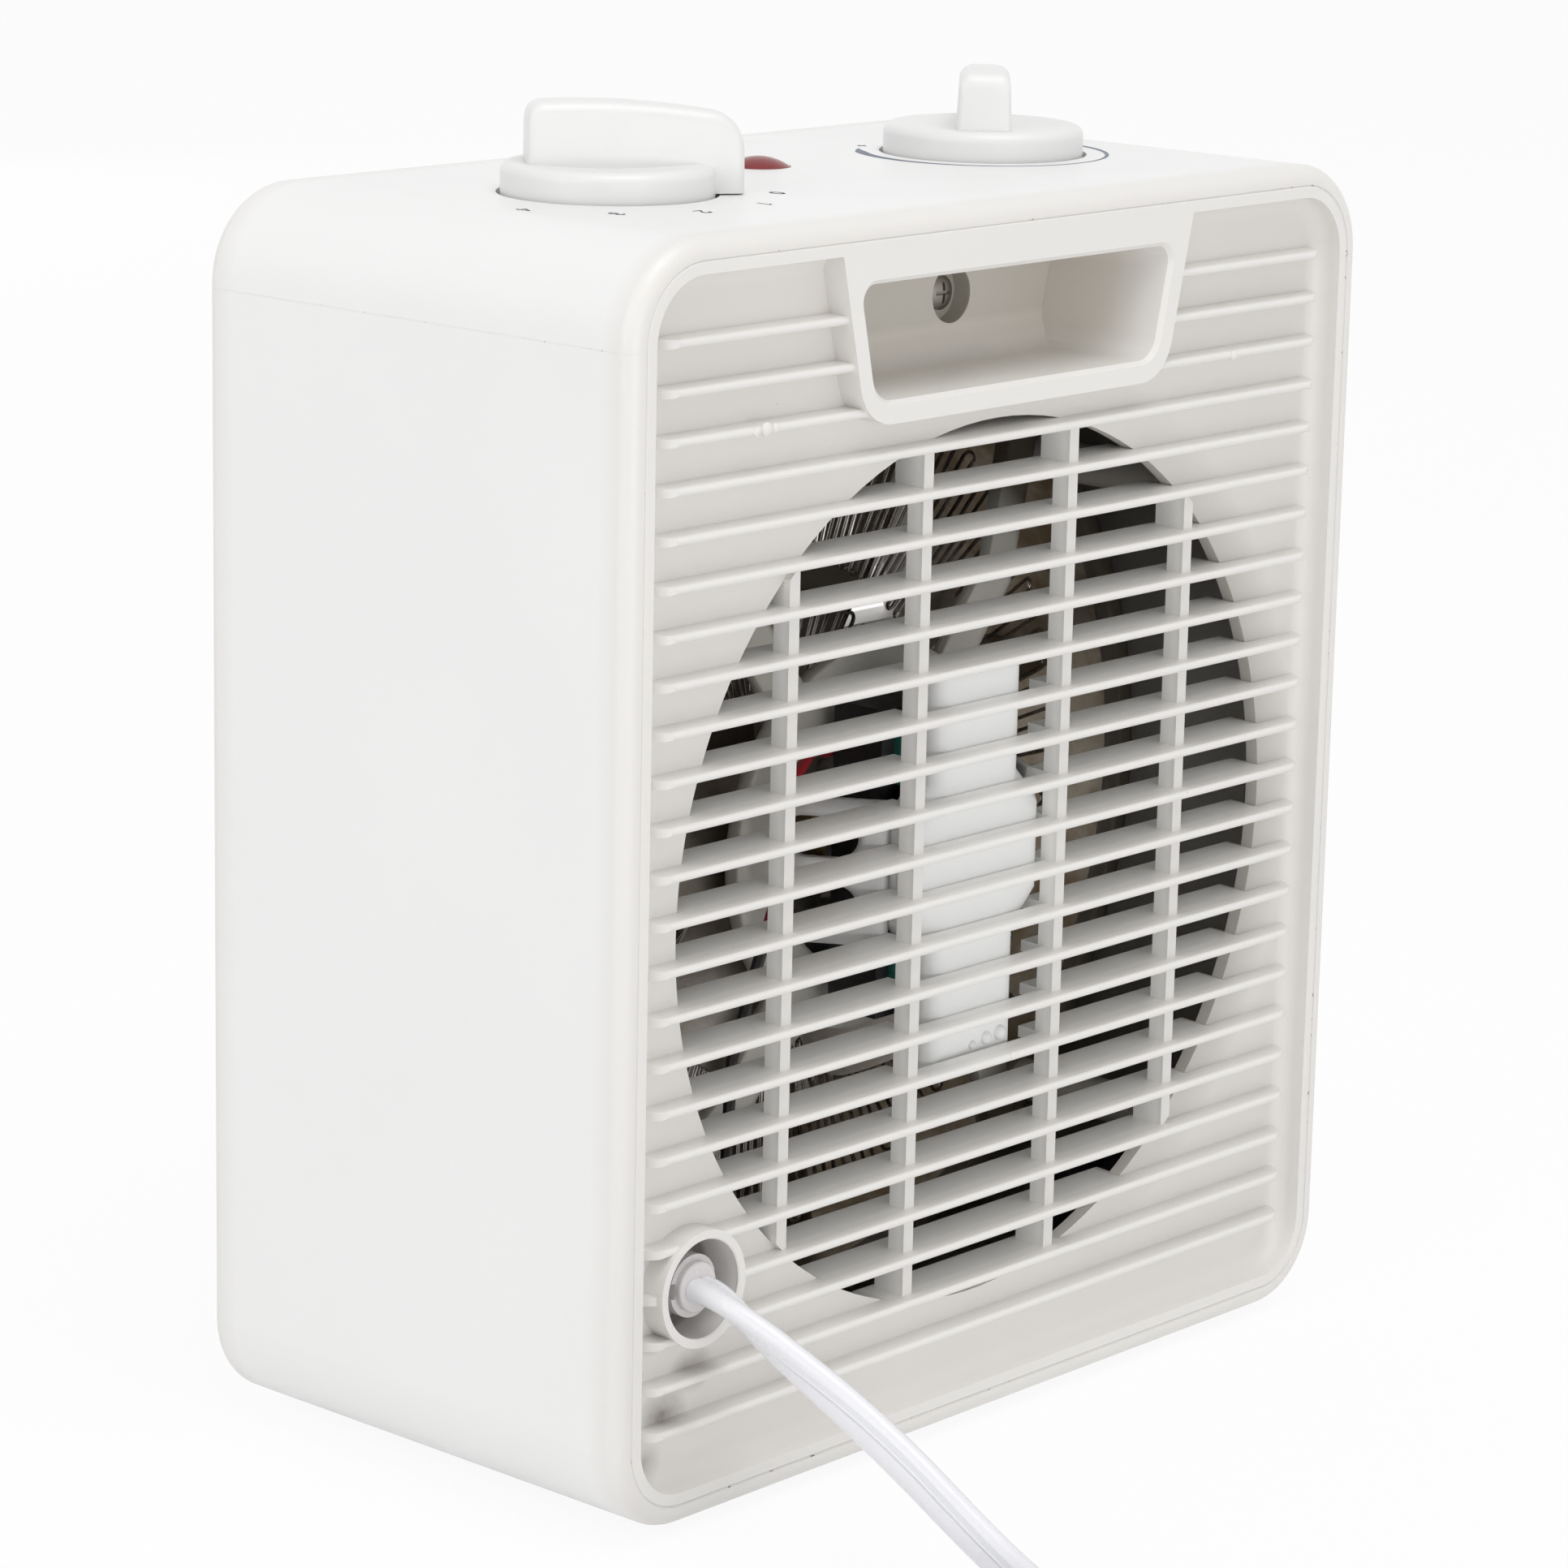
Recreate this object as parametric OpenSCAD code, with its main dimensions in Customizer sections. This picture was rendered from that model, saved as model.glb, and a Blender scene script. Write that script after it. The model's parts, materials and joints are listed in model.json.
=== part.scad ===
// Free-standing compact fan heater, standing on z = 0 with its warm-air outlet at the front (-Y).
// The origin is the middle of the footprint; millimetres throughout.

/* [Casing] */
// Width across the two sides
body_w = 208; // [200:1:230]
// Depth from the front rim to the rear rim
body_d = 108; // [104:1:126]
// Height of the casing without its feet
body_h = 234; // [230:1:250]
// Corner radius of the outline at the top
top_r = 18; // [15:1:22]
// Corner radius of the outline at the bottom
bottom_r = 17; // [15:1:22]
// Wall thickness of the casing
wall = 2.5; // [2:0.1:3]
// Width of the front and rear rims
rim_w = 3.7; // [3.4:0.1:4.5]
// Rounding of the outer edge of the rims
rim_r = 3; // [1:0.5:3.2]
// Depth of the thick part behind each rim
rim_depth = 8; // [7:0.5:10]
// Height of the rubber feet
foot_h = 2; // [1.5:0.5:4]
// Diameter of a foot
foot_d = 16; // [12:1:20]

/* [Louvred panels] */
// Width of the raised border round a panel
border_w = 2.4; // [2:0.1:3.5]
// Depth of the recessed floor below the rim
recess = 5.4; // [5:0.1:6.5]
// Thickness of the recessed floor
floor_t = 2.7; // [2:0.1:3.2]
// Radius of the cove between border and floor
cove_r = 3.5; // [2:0.1:4.2]
// Distance between two louvre ribs
rib_pitch = 8.62; // [7.5:0.01:10]
// Thickness of a rib at its rounded nose
rib_t = 1.6; // [1.4:0.1:2.2]
// Thickness of a rib at its root
rib_root = 2.3; // [2.2:0.1:2.8]
// Depth of the ribs across the air opening
rib_depth = 11; // [9:0.5:12]
// How far the rib noses lie below the rim
rib_drop = 0.8; // [0.4:0.1:1.5]
// Radius of the round air opening
opening_r = 85; // [78:1:88]
// Height of the fan axis above the underside of the casing
axis_h = 108; // [106:1:112]
// Width of an upright bar across the opening
bar_w = 2.7; // [2:0.1:3.5]
// Sideways place of the inner bars
bar_in = 21; // [20.5:0.5:24]
// Sideways place of the outer bars
bar_out = 57; // [50:1:62]

/* [Grip pocket] */
// Width of the mouth halfway up
grip_w = 84.6; // [78:0.2:90]
// Height of the mouth
grip_h = 21.5; // [20:0.5:23]
// Distance from the top of the casing to the mouth
grip_drop = 12; // [11:0.5:14]
// Depth of the pocket
grip_depth = 25; // [22:0.5:26]
// Width of the flat frame round the mouth
grip_frame = 4.2; // [3.5:0.1:5]
// Wall of the pocket
grip_wall = 2; // [1.6:0.1:2.5]

/* [Cord outlet] */
// Sideways place of the cord ring
ring_x = 81.5; // [78:0.5:83]
// Height of the cord ring above the underside of the casing
ring_h = 43.7; // [38:0.1:50]
// Outer radius of the ring
ring_r = 11; // [10:0.5:11.5]
// Wall of the ring
ring_wall = 1.5; // [1.2:0.1:2]
// Depth of the ring's well
ring_depth = 11.8; // [10:0.1:14]
// Radius of the bush flange
bush_r = 5.9; // [5.4:0.1:6.4]
// Width of the flat cord
cord_w = 7.4; // [7:0.1:8]
// Thickness of the flat cord
cord_t = 4; // [3.6:0.1:4.2]

/* [Controls] */
// Diameter of a knob
knob_d = 39.4; // [36:0.2:42]
// Height of a knob's disc above the top
knob_h = 5.7; // [5:0.1:7]
// Gap round a knob
knob_gap = 0.8; // [0.5:0.1:1.2]
// Sideways place of the knobs
knob_x = 53.1; // [50:0.1:56]
// Height of the wing above the top
wing_h = 17; // [15:0.5:18]
// Thickness of the wing at its base
wing_t = 11.4; // [10:0.2:12]
// Reach of the pointer from the knob's axis
pointer_r = 24.8; // [23:0.2:25.5]
// Diameter of a control spindle
spindle_d = 6; // [5:0.5:7]
// Rest angle of the selector pointer, from straight back
selector_angle = 50; // [0:1:60]
// Rest angle of the thermostat pointer, from straight back
thermostat_angle = 143; // [120:1:150]
// Diameter of the pilot lamp lens
lens_d = 12; // [10:0.5:13]

/* [Fan and motor] */
// Diameter of the fan
fan_d = 112; // [100:1:118]
// Number of fan blades
blade_count = 6; // [4:1:8]
// Pitch of the blades in degrees
blade_pitch = 28; // [20:1:32]
// Sheet thickness of the blades
blade_t = 0.9; // [0.7:0.1:1.2]
// Diameter of the motor shaft
shaft_d = 5; // [4:0.5:6]
// Diameter of the rotor
rotor_d = 24.4; // [22:0.2:26]
// Width of the lamination stack
core_w = 34; // [32:0.5:35]
// Height of the lamination stack
core_h = 60; // [56:0.5:62]
// Thickness of the lamination stack
core_t = 12; // [10:0.5:14]
// Width of the motor cover's upright bar
cover_w = 25.4; // [22:0.2:28]
// Height of the motor cover's upright bar
cover_h = 79; // [74:1:84]
// Width of the cover's octagon
octagon_w = 38.6; // [37:0.1:38.7]
// Height of the cover's octagon
octagon_h = 34; // [30:0.5:40]

/* [Heating element] */
// Outer radius of the heat shield drum
drum_r = 97; // [94:0.5:99]
// Sheet thickness of the drum
drum_t = 0.8; // [0.6:0.1:1.2]
// Inner radius of the outer zigzag
outer_zig_in = 50; // [48:1:54]
// Outer radius of the outer zigzag
outer_zig_out = 88; // [82:1:90]
// Number of zigzags in the outer ring
outer_zigs = 76; // [60:2:110]
// Inner radius of the inner zigzag
inner_zig_in = 24; // [20:1:28]
// Outer radius of the inner zigzag
inner_zig_out = 44; // [38:1:46]
// Number of zigzags in the inner ring
inner_zigs = 44; // [36:2:60]
// Width of the heating wire
wire_w = 0.8; // [0.6:0.1:1]
// Thickness of a mica plate
mica_t = 1; // [0.8:0.1:1.4]
// Depth of the mica star
mica_depth = 22; // [16:1:26]

/* [Cord coil] */
// Radius of the coil's outermost turn, at the middle of the cord
coil_r = 48; // [46:0.5:56]
// Distance between two turns side by side
coil_pitch = 4.9; // [4.8:0.1:5.4]
// Turns in each of the two layers
coil_turns = 3; // [2:0.5:3]
// Width of the plug
plug_w = 25; // [22:0.5:25]
// Thickness of the plug
plug_t = 15; // [13:0.5:18]

/* [Hidden] */
$fn = 72;
hull_fn = 32;
over = 1;                 // how far a cutting shape runs past the surface
seam = 0.2;               // gap between two mouldings
seat = 0.3;               // gap between a piece and the seat that carries it
running = 0.03;           // radial clearance of a shaft in its bearing
half_w = body_w / 2;
rear_y = body_d / 2;
base_z = foot_h;
top_z = base_z + body_h;
axis_z = base_z + axis_h;
seam_z = top_z - top_r - 0.5;

// Screws
screw_r = 1.5;
screw_head_r = 3.3;
base_screw_x = 58;
base_screw_y = rear_y - 15;
base_boss_r = 5.5;
base_boss_h = 8;
tab_t = 4;                // thickness of the panels' screw tabs

// Louvred panels: their outline lies inside the casing's rim
inset = rim_w + seam;
panel_w = half_w - inset;
panel_top_r = top_r - inset;
panel_bottom_r = bottom_r - inset;
floor_in = border_w + cove_r;
floor_y = rear_y - recess;
floor_back_y = floor_y - floor_t;
floor_w = panel_w - floor_in;
floor_low = base_z + inset + floor_in;
rib_y = rear_y - rib_drop;
rib_first = top_z - top_r;
rib_below = 14;           // plain band kept free below the lowest rib
rib_count = floor((rib_first - base_z - rib_below) / rib_pitch) + 1;
rib_end_r = 4.6;          // rounding of a rib's ends, seen from above
rib_nose_r = rib_t / 2;
bar_y = rib_y - 3;        // the upright bars lie behind the rib noses
bar_depth = 7;
ledge_t = 2.5;            // ledge inside the casing that backs each panel
ledge_w = 6;

// Grip pocket: a trapezoid that widens upwards
grip_slope = 0.223;       // growth of the half-width per millimetre of height
grip_top = top_z - grip_drop;
grip_low = grip_top - grip_h;
grip_mid = (grip_top + grip_low) / 2;
grip_top_round = 3;
grip_low_round = 5;
grip_back = rear_y - grip_depth;
grip_draft = 0.22;        // narrowing of each side per millimetre of depth
grip_lean = 0.04;         // the same for the floor and the roof
grip_fillet = 8;          // fillet between the pocket's floor and its back wall
grip_edge = 0.8;          // softened edge of the mouth
grip_screw_x = -9;
grip_screw_z = grip_mid + 1.8;
grip_well_r = 5.5;
grip_well_depth = 4;
grip_boss_y = grip_back - grip_well_depth - 1.5 - seat;

// Top and controls
knob_y = -1.25;
knob_r = knob_d / 2;
well_r = knob_r + knob_gap;
well_depth = 8;
well_wall = 1.8;
well_floor = 2;
well_floor_z = top_z - well_depth;
switch_top = well_floor_z - well_floor;
knob_low = well_floor_z + 1;
spindle_hole_r = spindle_d / 2 + 1;
spindle_top = top_z + 3;
spindle_into_switch = 6;
screw_spread = 12;        // half the distance between a control's two screws
switch_w = 34;
switch_d = 28;
switch_h = 20;
lens_y = -12.5;
lens_rise = 3;

// The drum keeps clear of the side walls, the base and the switch when one of them moves in
shield_clear = 0.5;
shield_r = min(drum_r, half_w - wall - shield_clear, axis_h - wall - shield_clear,
               norm([knob_x - switch_w / 2, switch_top - switch_h - axis_z]) - shield_clear);

// Motor, counted forwards from the rear rim
cover_y = rear_y - 6.6;
cover_depth = 7;
cover_wall = 1.8;
cover_round = 4;
cover_clear = 0.3;
core_rear_y = rear_y - 17;
core_front_y = core_rear_y - core_t;
coil_over = 3;            // how far a coil stands out of the stack on both sides
bore_r = rotor_d / 2 + 0.4;
pole_w = 14;
slot_low = 15;
slot_high = 25;
limb_w = 3.4;
bracket_t = 1.6;
bracket_w = 12;
boss_r = 5.5;
boss_h = 3;
motor_screw_z = core_h / 2 - 2.5;
spider_hub_y = core_front_y - 5;
spider_hub_t = 3;
spider_hub_r = 38;
spider_hole_r = 26;
spider_ring_y = 7;        // rear face of the ring that closes the drum
spider_ring_t = 4;
spider_ring_in = shield_r - 4;
spider_angle = 52;
spider_arm_w = 9;
spider_side_h = 28;
drum_rear_y = spider_ring_y - spider_ring_t;
drum_front_y = -floor_back_y;
post_r = 4.2;
post_at = shield_r - 5.2; // distance of the posts from the fan axis
post_angle = 45;
fan_y = spider_hub_y - spider_hub_t - 7.5; // middle of the blades
fan_r = fan_d / 2;
hub_r = 12;
hub_t = 6;
blade_w = 30;
blade_root = 14;
hub_front_y = fan_y - hub_t / 2;
clip_t = 0.8;

// Heating element, counted forwards from the rear end of the drum
zig_y = drum_rear_y - 11;
mica_rear_y = zig_y - wire_w / 2;
mica_r = shield_r - drum_t - seat;
terminal_angles = [38, 47, 56];
terminal_r = 2.5;
cutout_y = (drum_front_y + zig_y) / 2;
cutout_r = 7.9;

// Cord: route of the free stretch, chosen by hand, and the coil that it runs into
ring_z = base_z + ring_h;
bush_face_y = rear_y - 3;
bush_flange_t = 2;
well_back_y = rear_y - rib_drop / 4 - ring_depth;
well_back_t = 2;
cord_route = [
    [81.5, 51, 45.7], [81.5, 56, 45.2], [81.2, 62, 43], [80.4, 68, 39.8], [79, 76, 35.3],
    [77.6, 84, 30.8], [76.6, 92, 26.3], [76.2, 100, 21.9], [76.2, 108, 17.5], [76.4, 116, 13.4],
    [76.8, 124, 9.9], [77.2, 132, 7.2], [77.6, 139, 5.5], [78, 146, 4.7], [78, 152, 4.5],
    [78, 158, 4.5], [78, 164, 4.5]
];
cord_roll = [0, 0, 0, 0, 0, 0, 0, 0, 0, 0, 5, 15, 35, 60, 80, 90, 90];
cord_sides = 10;
block_w = 22;             // terminal block on the base, in front of the rear ledge
block_h = 12;
block_x = 39;
block_rear_y = floor_back_y - ledge_t - 2 * seat;
block_low = base_z + wall + seat;
tilt_x = -73;             // tilt switch on the base
tilt_y = 24;
coil_sides = 6;
coil_rings = 24;          // rings in one turn
coil_x = 78 + coil_r;
coil_y = 172;
coil_z1 = 4.5;            // middle of the lower layer
coil_layer = cord_w + 0.7;
coil_z2 = coil_z1 + coil_layer;
coil_lead = 8;            // straight length before the first turn
coil_tail = 33;           // straight length after the last turn
coil_arc = 360 * (2 * coil_turns + 0.5);
coil_steps = coil_rings * (2 * coil_turns + 0.5);
tie_gap = 0.2;
tie_t = 0.5;
tie_w = 5;
tie_angle = 90;
plug_l = 34;
plug_y = coil_y - coil_tail;
plug_x = coil_x + coil_r;
blade_gap = 12.7;
pin_l = 17;
pin_h = 6.3;
pin_t = 1.5;

// Colours
white = [0.93, 0.93, 0.925];
warm_white = [0.89, 0.88, 0.86];
steel = [0.62, 0.62, 0.63];
brass = [0.78, 0.64, 0.32];
dark = [0.2, 0.2, 0.21];

// ---- Helpers ----

// A plate from y_rear forwards by t; its child is a 2D shape seen in X and Z
module slab(y_rear, t) {
    translate([0, y_rear, 0]) rotate([90, 0, 0]) linear_extrude(t) children();
}

// A round bar along Y from y_rear forwards by t, at x and z
module rod_y(x, z, r, y_rear, t) {
    slab(y_rear, t) translate([x, z]) circle(r);
}

// Sweeps a section along the top run and two upper corners of a rounded outline, down to low_z.
// The section's x runs outwards from the outline and its y is the depth.
module upper_sweep(w, high, r, low_z) {
    for (s = [0, 1]) mirror([s, 0, 0]) {
        translate([w, 0, low_z]) linear_extrude(high - r - low_z + 0.001) children();
        translate([w - r, 0, high - r]) rotate([90, 0, 0]) mirror([0, 0, 1])
            rotate_extrude(angle = 90) translate([r, 0]) children();
    }
    translate([w - r, 0, high]) rotate([0, -90, 0]) linear_extrude(2 * (w - r)) children();
}

// The same along the bottom run and two lower corners, up to high_z
module lower_sweep(w, low, r, high_z) {
    mirror([0, 0, 1]) upper_sweep(w, -low, r, -high_z) children();
}

// A rounded rectangle between two heights, with its own radius at the top and the bottom
module outline(w, low, high, r_low, r_high) {
    translate([-w, low + r_low]) square([2 * w, high - low - r_low - r_high]);
    translate([-w + r_low, low]) square([2 * (w - r_low), r_low + 0.01]);
    translate([-w + r_high, high - r_high - 0.01]) square([2 * (w - r_high), r_high + 0.01]);
    for (s = [-1, 1]) {
        translate([s * (w - r_low), low + r_low]) circle(r_low);
        translate([s * (w - r_high), high - r_high]) circle(r_high);
    }
}

// A trapezoid with round corners whose half-width is half_at + slope * (z - at)
module round_trapezoid(half_at, at, slope, low, high, r_low, r_high) {
    lean = sqrt(1 + slope * slope);
    x_low = half_at + slope * (low + r_low - at) - r_low * lean;
    x_high = half_at + slope * (high - r_high - at) - r_high * lean;
    out = [1, -slope] / lean;
    for (s = [0, 1]) mirror([s, 0]) {
        polygon([
            [0, low], [x_low, low], [x_low + r_low * out[0], low + r_low + r_low * out[1]],
            [x_high + r_high * out[0], high - r_high + r_high * out[1]], [x_high, high], [0, high]
        ]);
        translate([x_low, low + r_low]) circle(r_low);
        translate([x_high, high - r_high]) circle(r_high);
    }
}

// The grip pocket's outline, grown by g at the sides and by v at the top and bottom
module grip_shape(g, v) {
    round_trapezoid(grip_w / 2 + g, grip_mid, grip_slope, grip_low - v, grip_top + v,
                    grip_low_round + max(0, g), grip_top_round + max(0, g));
}

// A stadium of width w and height h
module stadium(w, h) {
    square([w, h - w], center = true);
    for (s = [-1, 1]) translate([0, s * (h - w) / 2]) circle(w / 2);
}

// A round-headed screw along +Z from its tip to the top of its head
module screw(shank_r, shank_l, head_r, head_h) {
    cylinder(r = shank_r, h = shank_l);
    translate([0, 0, shank_l]) difference() {
        intersection() {
            cylinder(r = head_r, h = head_h);
            translate([0, 0, head_h - 2 * head_r]) sphere(2 * head_r);
        }
        for (a = [0, 90]) rotate([0, 0, a]) translate([0, 0, head_h])
            cube([head_r * 1.2, 0.7, 1.6], center = true);
    }
}

// Unit vector
function unit(v) = v / norm(v);

// Direction of travel at point i of a route
function heading(route, i) =
    unit(route[min(i + 1, len(route) - 1)] - route[max(i - 1, 0)]);

// One oval ring of a tube, a across and b thick, turned about its own line by roll
function oval(p, dir, a, b, roll, sides, up) =
    let (side = unit(cross(dir, up)), rise = cross(side, dir))
    [for (k = [0:sides - 1])
        let (t = 360 * (k + 0.5) / sides, u = a * cos(t), v = b * sin(t))
        p + side * (u * cos(roll) - v * sin(roll)) + rise * (u * sin(roll) + v * cos(roll))];

// An oval tube along a route; rolls holds the roll at each point, ends the two end headings
module oval_tube(route, a, b, rolls, sides, up, ends) {
    last = len(route) - 1;
    points = [for (i = [0:last])
        let (dir = i == 0 ? ends[0] : i == last ? ends[1] : heading(route, i))
        each oval(route[i], dir, a, b, rolls[i], sides, up)];
    walls = [for (i = [0:last - 1], k = [0:sides - 1])
        let (p = i * sides + k, q = i * sides + (k + 1) % sides)
        each [[p, q, q + sides], [p, q + sides, p + sides]]];
    start = [for (k = [sides - 1:-1:0]) k];
    end = [for (k = [0:sides - 1]) last * sides + k];
    polyhedron(points, concat([start], walls, [end]));
}

// A round insulated lead through hand-chosen points
module lead(route, d, up) {
    last = len(route) - 1;
    oval_tube(route, d / 2, d / 2, [for (p = route) 0], 8, up,
              [unit(route[1] - route[0]), unit(route[last] - route[last - 1])]);
}

// ---- Casing ----

// Section of the casing wall: a web, a thick rim at each end and a ledge behind each panel
module wall_section() {
    translate([-wall, -rear_y + rim_r]) square([wall, body_d - 2 * rim_r]);
    for (s = [0, 1]) mirror([0, s]) {
        translate([-rim_w, rear_y - rim_depth]) square([rim_w - rim_r, rim_depth]);
        translate([-rim_r - 0.01, rear_y - rim_depth]) square([rim_r + 0.01, rim_depth - rim_r]);
        intersection() {
            translate([-rim_r, rear_y - rim_r]) circle(rim_r);
            translate([-rim_w, 0]) square([rim_w, body_d]);
        }
        translate([-ledge_w, floor_back_y - seat - ledge_t]) square([ledge_w, ledge_t]);
    }
}

module side_body() color(white) difference() {
    union() {
        lower_sweep(half_w, base_z, bottom_r, seam_z - seam / 2) wall_section();
        for (x = [-1, 1], y = [-1, 1])
            translate([x * base_screw_x, y * base_screw_y, base_z])
                cylinder(r = base_boss_r, h = base_boss_h);
    }
    for (x = [-1, 1], y = [-1, 1]) translate([x * base_screw_x, y * base_screw_y, base_z - over]) {
        cylinder(r = screw_head_r + 0.5, h = 3.6 + over);
        cylinder(r = screw_r + 0.3, h = base_boss_h + 2 * over);
    }
    // the ledges make room for the drum
    rod_y(0, axis_z, shield_r + shield_clear, drum_rear_y, drum_rear_y - drum_front_y + over);
}

module top_cover() color(white) difference() {
    union() {
        upper_sweep(half_w, top_z, top_r, seam_z + seam / 2) wall_section();
        for (x = [-knob_x, knob_x]) translate([x, knob_y, switch_top])
            cylinder(r = well_r + well_wall, h = well_depth + well_floor - 0.5);
        // boss for the screw in the grip pocket
        translate([grip_screw_x - 5, grip_boss_y - 9, grip_screw_z - 6])
            cube([10, 9, top_z - wall + 0.5 - grip_screw_z + 6]);
    }
    rod_y(grip_screw_x, grip_screw_z, screw_r, grip_boss_y + over, 8 + over);
    for (x = [-knob_x, knob_x]) translate([x, knob_y, 0]) {
        translate([0, 0, well_floor_z]) cylinder(r = well_r, h = well_depth + over);
        translate([0, 0, switch_top - over]) cylinder(r = spindle_hole_r, h = well_floor + 2 * over);
        for (y = [-screw_spread, screw_spread]) translate([0, y, switch_top - over])
            cylinder(r = screw_r + 0.2, h = well_floor + 2 * over);
    }
    translate([0, lens_y, top_z - wall - over]) cylinder(d = lens_d + 0.4, h = wall + 2 * over);
}

module feet() color(dark) {
    for (x = [-1, 1], y = [-1, 1])
        translate([x * (half_w - 28), y * (rear_y - 17), 0])
            rotate_extrude() {
                square([foot_d / 2 - 1, base_z]);
                translate([0, 1]) square([foot_d / 2, base_z - 1]);
                translate([foot_d / 2 - 1, 1]) circle(1);
            }
}

module base_screws() color(steel) {
    for (x = [-1, 1], y = [-1, 1])
        translate([x * base_screw_x, y * base_screw_y, base_z + base_boss_h + tab_t])
            mirror([0, 0, 1]) screw(screw_r, base_boss_h + tab_t - 3.6, screw_head_r, 2.2);
}

// ---- Louvred panels ----

// Section of a panel's border: a raised band with a cove down to the floor
module border_section() {
    translate([-border_w, floor_back_y]) square([border_w - 0.5, recess + floor_t]);
    translate([-0.51, floor_back_y]) square([0.51, recess + floor_t - 0.5]);
    translate([-0.5, rear_y - 0.5]) circle(0.5, $fn = 24);
    difference() {
        translate([-floor_in, floor_back_y]) square([cove_r + 0.01, floor_t + cove_r]);
        translate([-floor_in, floor_y + cove_r]) circle(cove_r);
    }
}

// Profile of one rib in depth and height
module rib_profile() {
    polygon([
        [rib_y - rib_depth, -rib_root / 2], [rib_y - rib_nose_r, -rib_nose_r],
        [rib_y - rib_nose_r, rib_nose_r], [rib_y - rib_depth, rib_root / 2]
    ]);
    translate([rib_y - rib_nose_r, 0]) circle(rib_nose_r, $fn = 24);
}

// Where the ribs may be: over the floor with their ends rounded, and through the air opening
module rib_room() {
    reach = floor_w + 0.3;
    translate([0, 0, base_z]) linear_extrude(body_h) {
        translate([-reach, floor_y - 0.6]) square([2 * reach, rib_y - rib_end_r - floor_y + 0.6]);
        translate([-reach + rib_end_r, floor_y]) square([2 * (reach - rib_end_r), rib_y - floor_y]);
        for (s = [-1, 1]) intersection() {
            translate([s * (reach - rib_end_r), rib_y - rib_end_r]) circle(rib_end_r);
            translate([-reach, floor_y - 0.6]) square([2 * reach, recess]);
        }
    }
    rod_y(0, axis_z, opening_r + 0.2, rear_y, rib_depth + over);
}

// Border, floor with its round opening, ribs and upright bars, without its cut-outs
module louvre_panel() {
    upper_sweep(panel_w, top_z - inset, panel_top_r, axis_z) border_section();
    lower_sweep(panel_w, base_z + inset, panel_bottom_r, axis_z) border_section();
    slab(floor_y, floor_t) difference() {
        outline(floor_w + 0.01, floor_low - 0.01, top_z - inset - floor_in + 0.01,
                panel_bottom_r - floor_in, panel_top_r - floor_in);
        translate([0, axis_z]) circle(opening_r);
    }
    intersection() {
        for (i = [0:rib_count - 1])
            translate([-half_w, 0, rib_first - i * rib_pitch]) rotate([90, 0, 90])
                linear_extrude(body_w) rib_profile();
        rib_room();
    }
    intersection() {
        for (x = [-bar_out, -bar_in, bar_in, bar_out])
            translate([x - bar_w / 2, bar_y - bar_depth, axis_z - opening_r - over])
                cube([bar_w, bar_depth, 2 * (opening_r + over)]);
        rod_y(0, axis_z, opening_r + 0.2, rear_y, body_d / 2);
    }
}

// Tabs at the foot of a panel that the base screws hold
module panel_tabs() {
    for (x = [-1, 1]) translate([x * base_screw_x, 0, base_z + base_boss_h + seat]) difference() {
        translate([-6, base_screw_y - 6, 0]) cube([12, floor_back_y - base_screw_y + 6.5, tab_t - seat]);
        translate([0, base_screw_y, -over]) cylinder(r = screw_r + 0.05, h = tab_t + 2 * over);
    }
}

// A thin slice of the pocket at depth y, grown by g, with its floor raised
module grip_slice(y, g, raise) {
    into = rear_y - y;
    slab(y + 0.02, 0.04) intersection() {
        grip_shape(g - grip_draft * into, g - grip_lean * into);
        translate([-half_w, grip_low + raise - g]) square([body_w, body_h]);
    }
}

module grip_cavity() {
    $fn = hull_fn;
    hull() {
        grip_slice(rear_y + 0.4, 0, 0);
        for (t = [0:15:90])
            grip_slice(grip_back + grip_fillet * (1 - sin(t)), 0, grip_fillet * (1 - cos(t)));
    }
    hull() {
        grip_slice(rear_y - grip_edge, 0, 0);
        grip_slice(rear_y + 0.05, grip_edge, 0);
    }
}

module grip_shell() {
    hull() {
        $fn = hull_fn;
        grip_slice(floor_back_y + over, grip_wall, 0);
        grip_slice(grip_back - grip_wall, grip_wall, 0);
    }
    // flat frame round the mouth, running up into the border
    slab(rear_y, recess + floor_t) union() {
        grip_shape(grip_frame, grip_frame);
        intersection() {
            round_trapezoid(grip_w / 2 + grip_frame, grip_mid, grip_slope, grip_mid,
                            top_z - inset + 1, 1, 1);
            translate([-half_w, grip_mid]) square([body_w, top_z - inset - 1 - grip_mid]);
        }
    }
    rod_y(grip_screw_x, grip_screw_z, grip_well_r + 1.5, grip_back, grip_back - grip_boss_y - seat);
}

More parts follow.
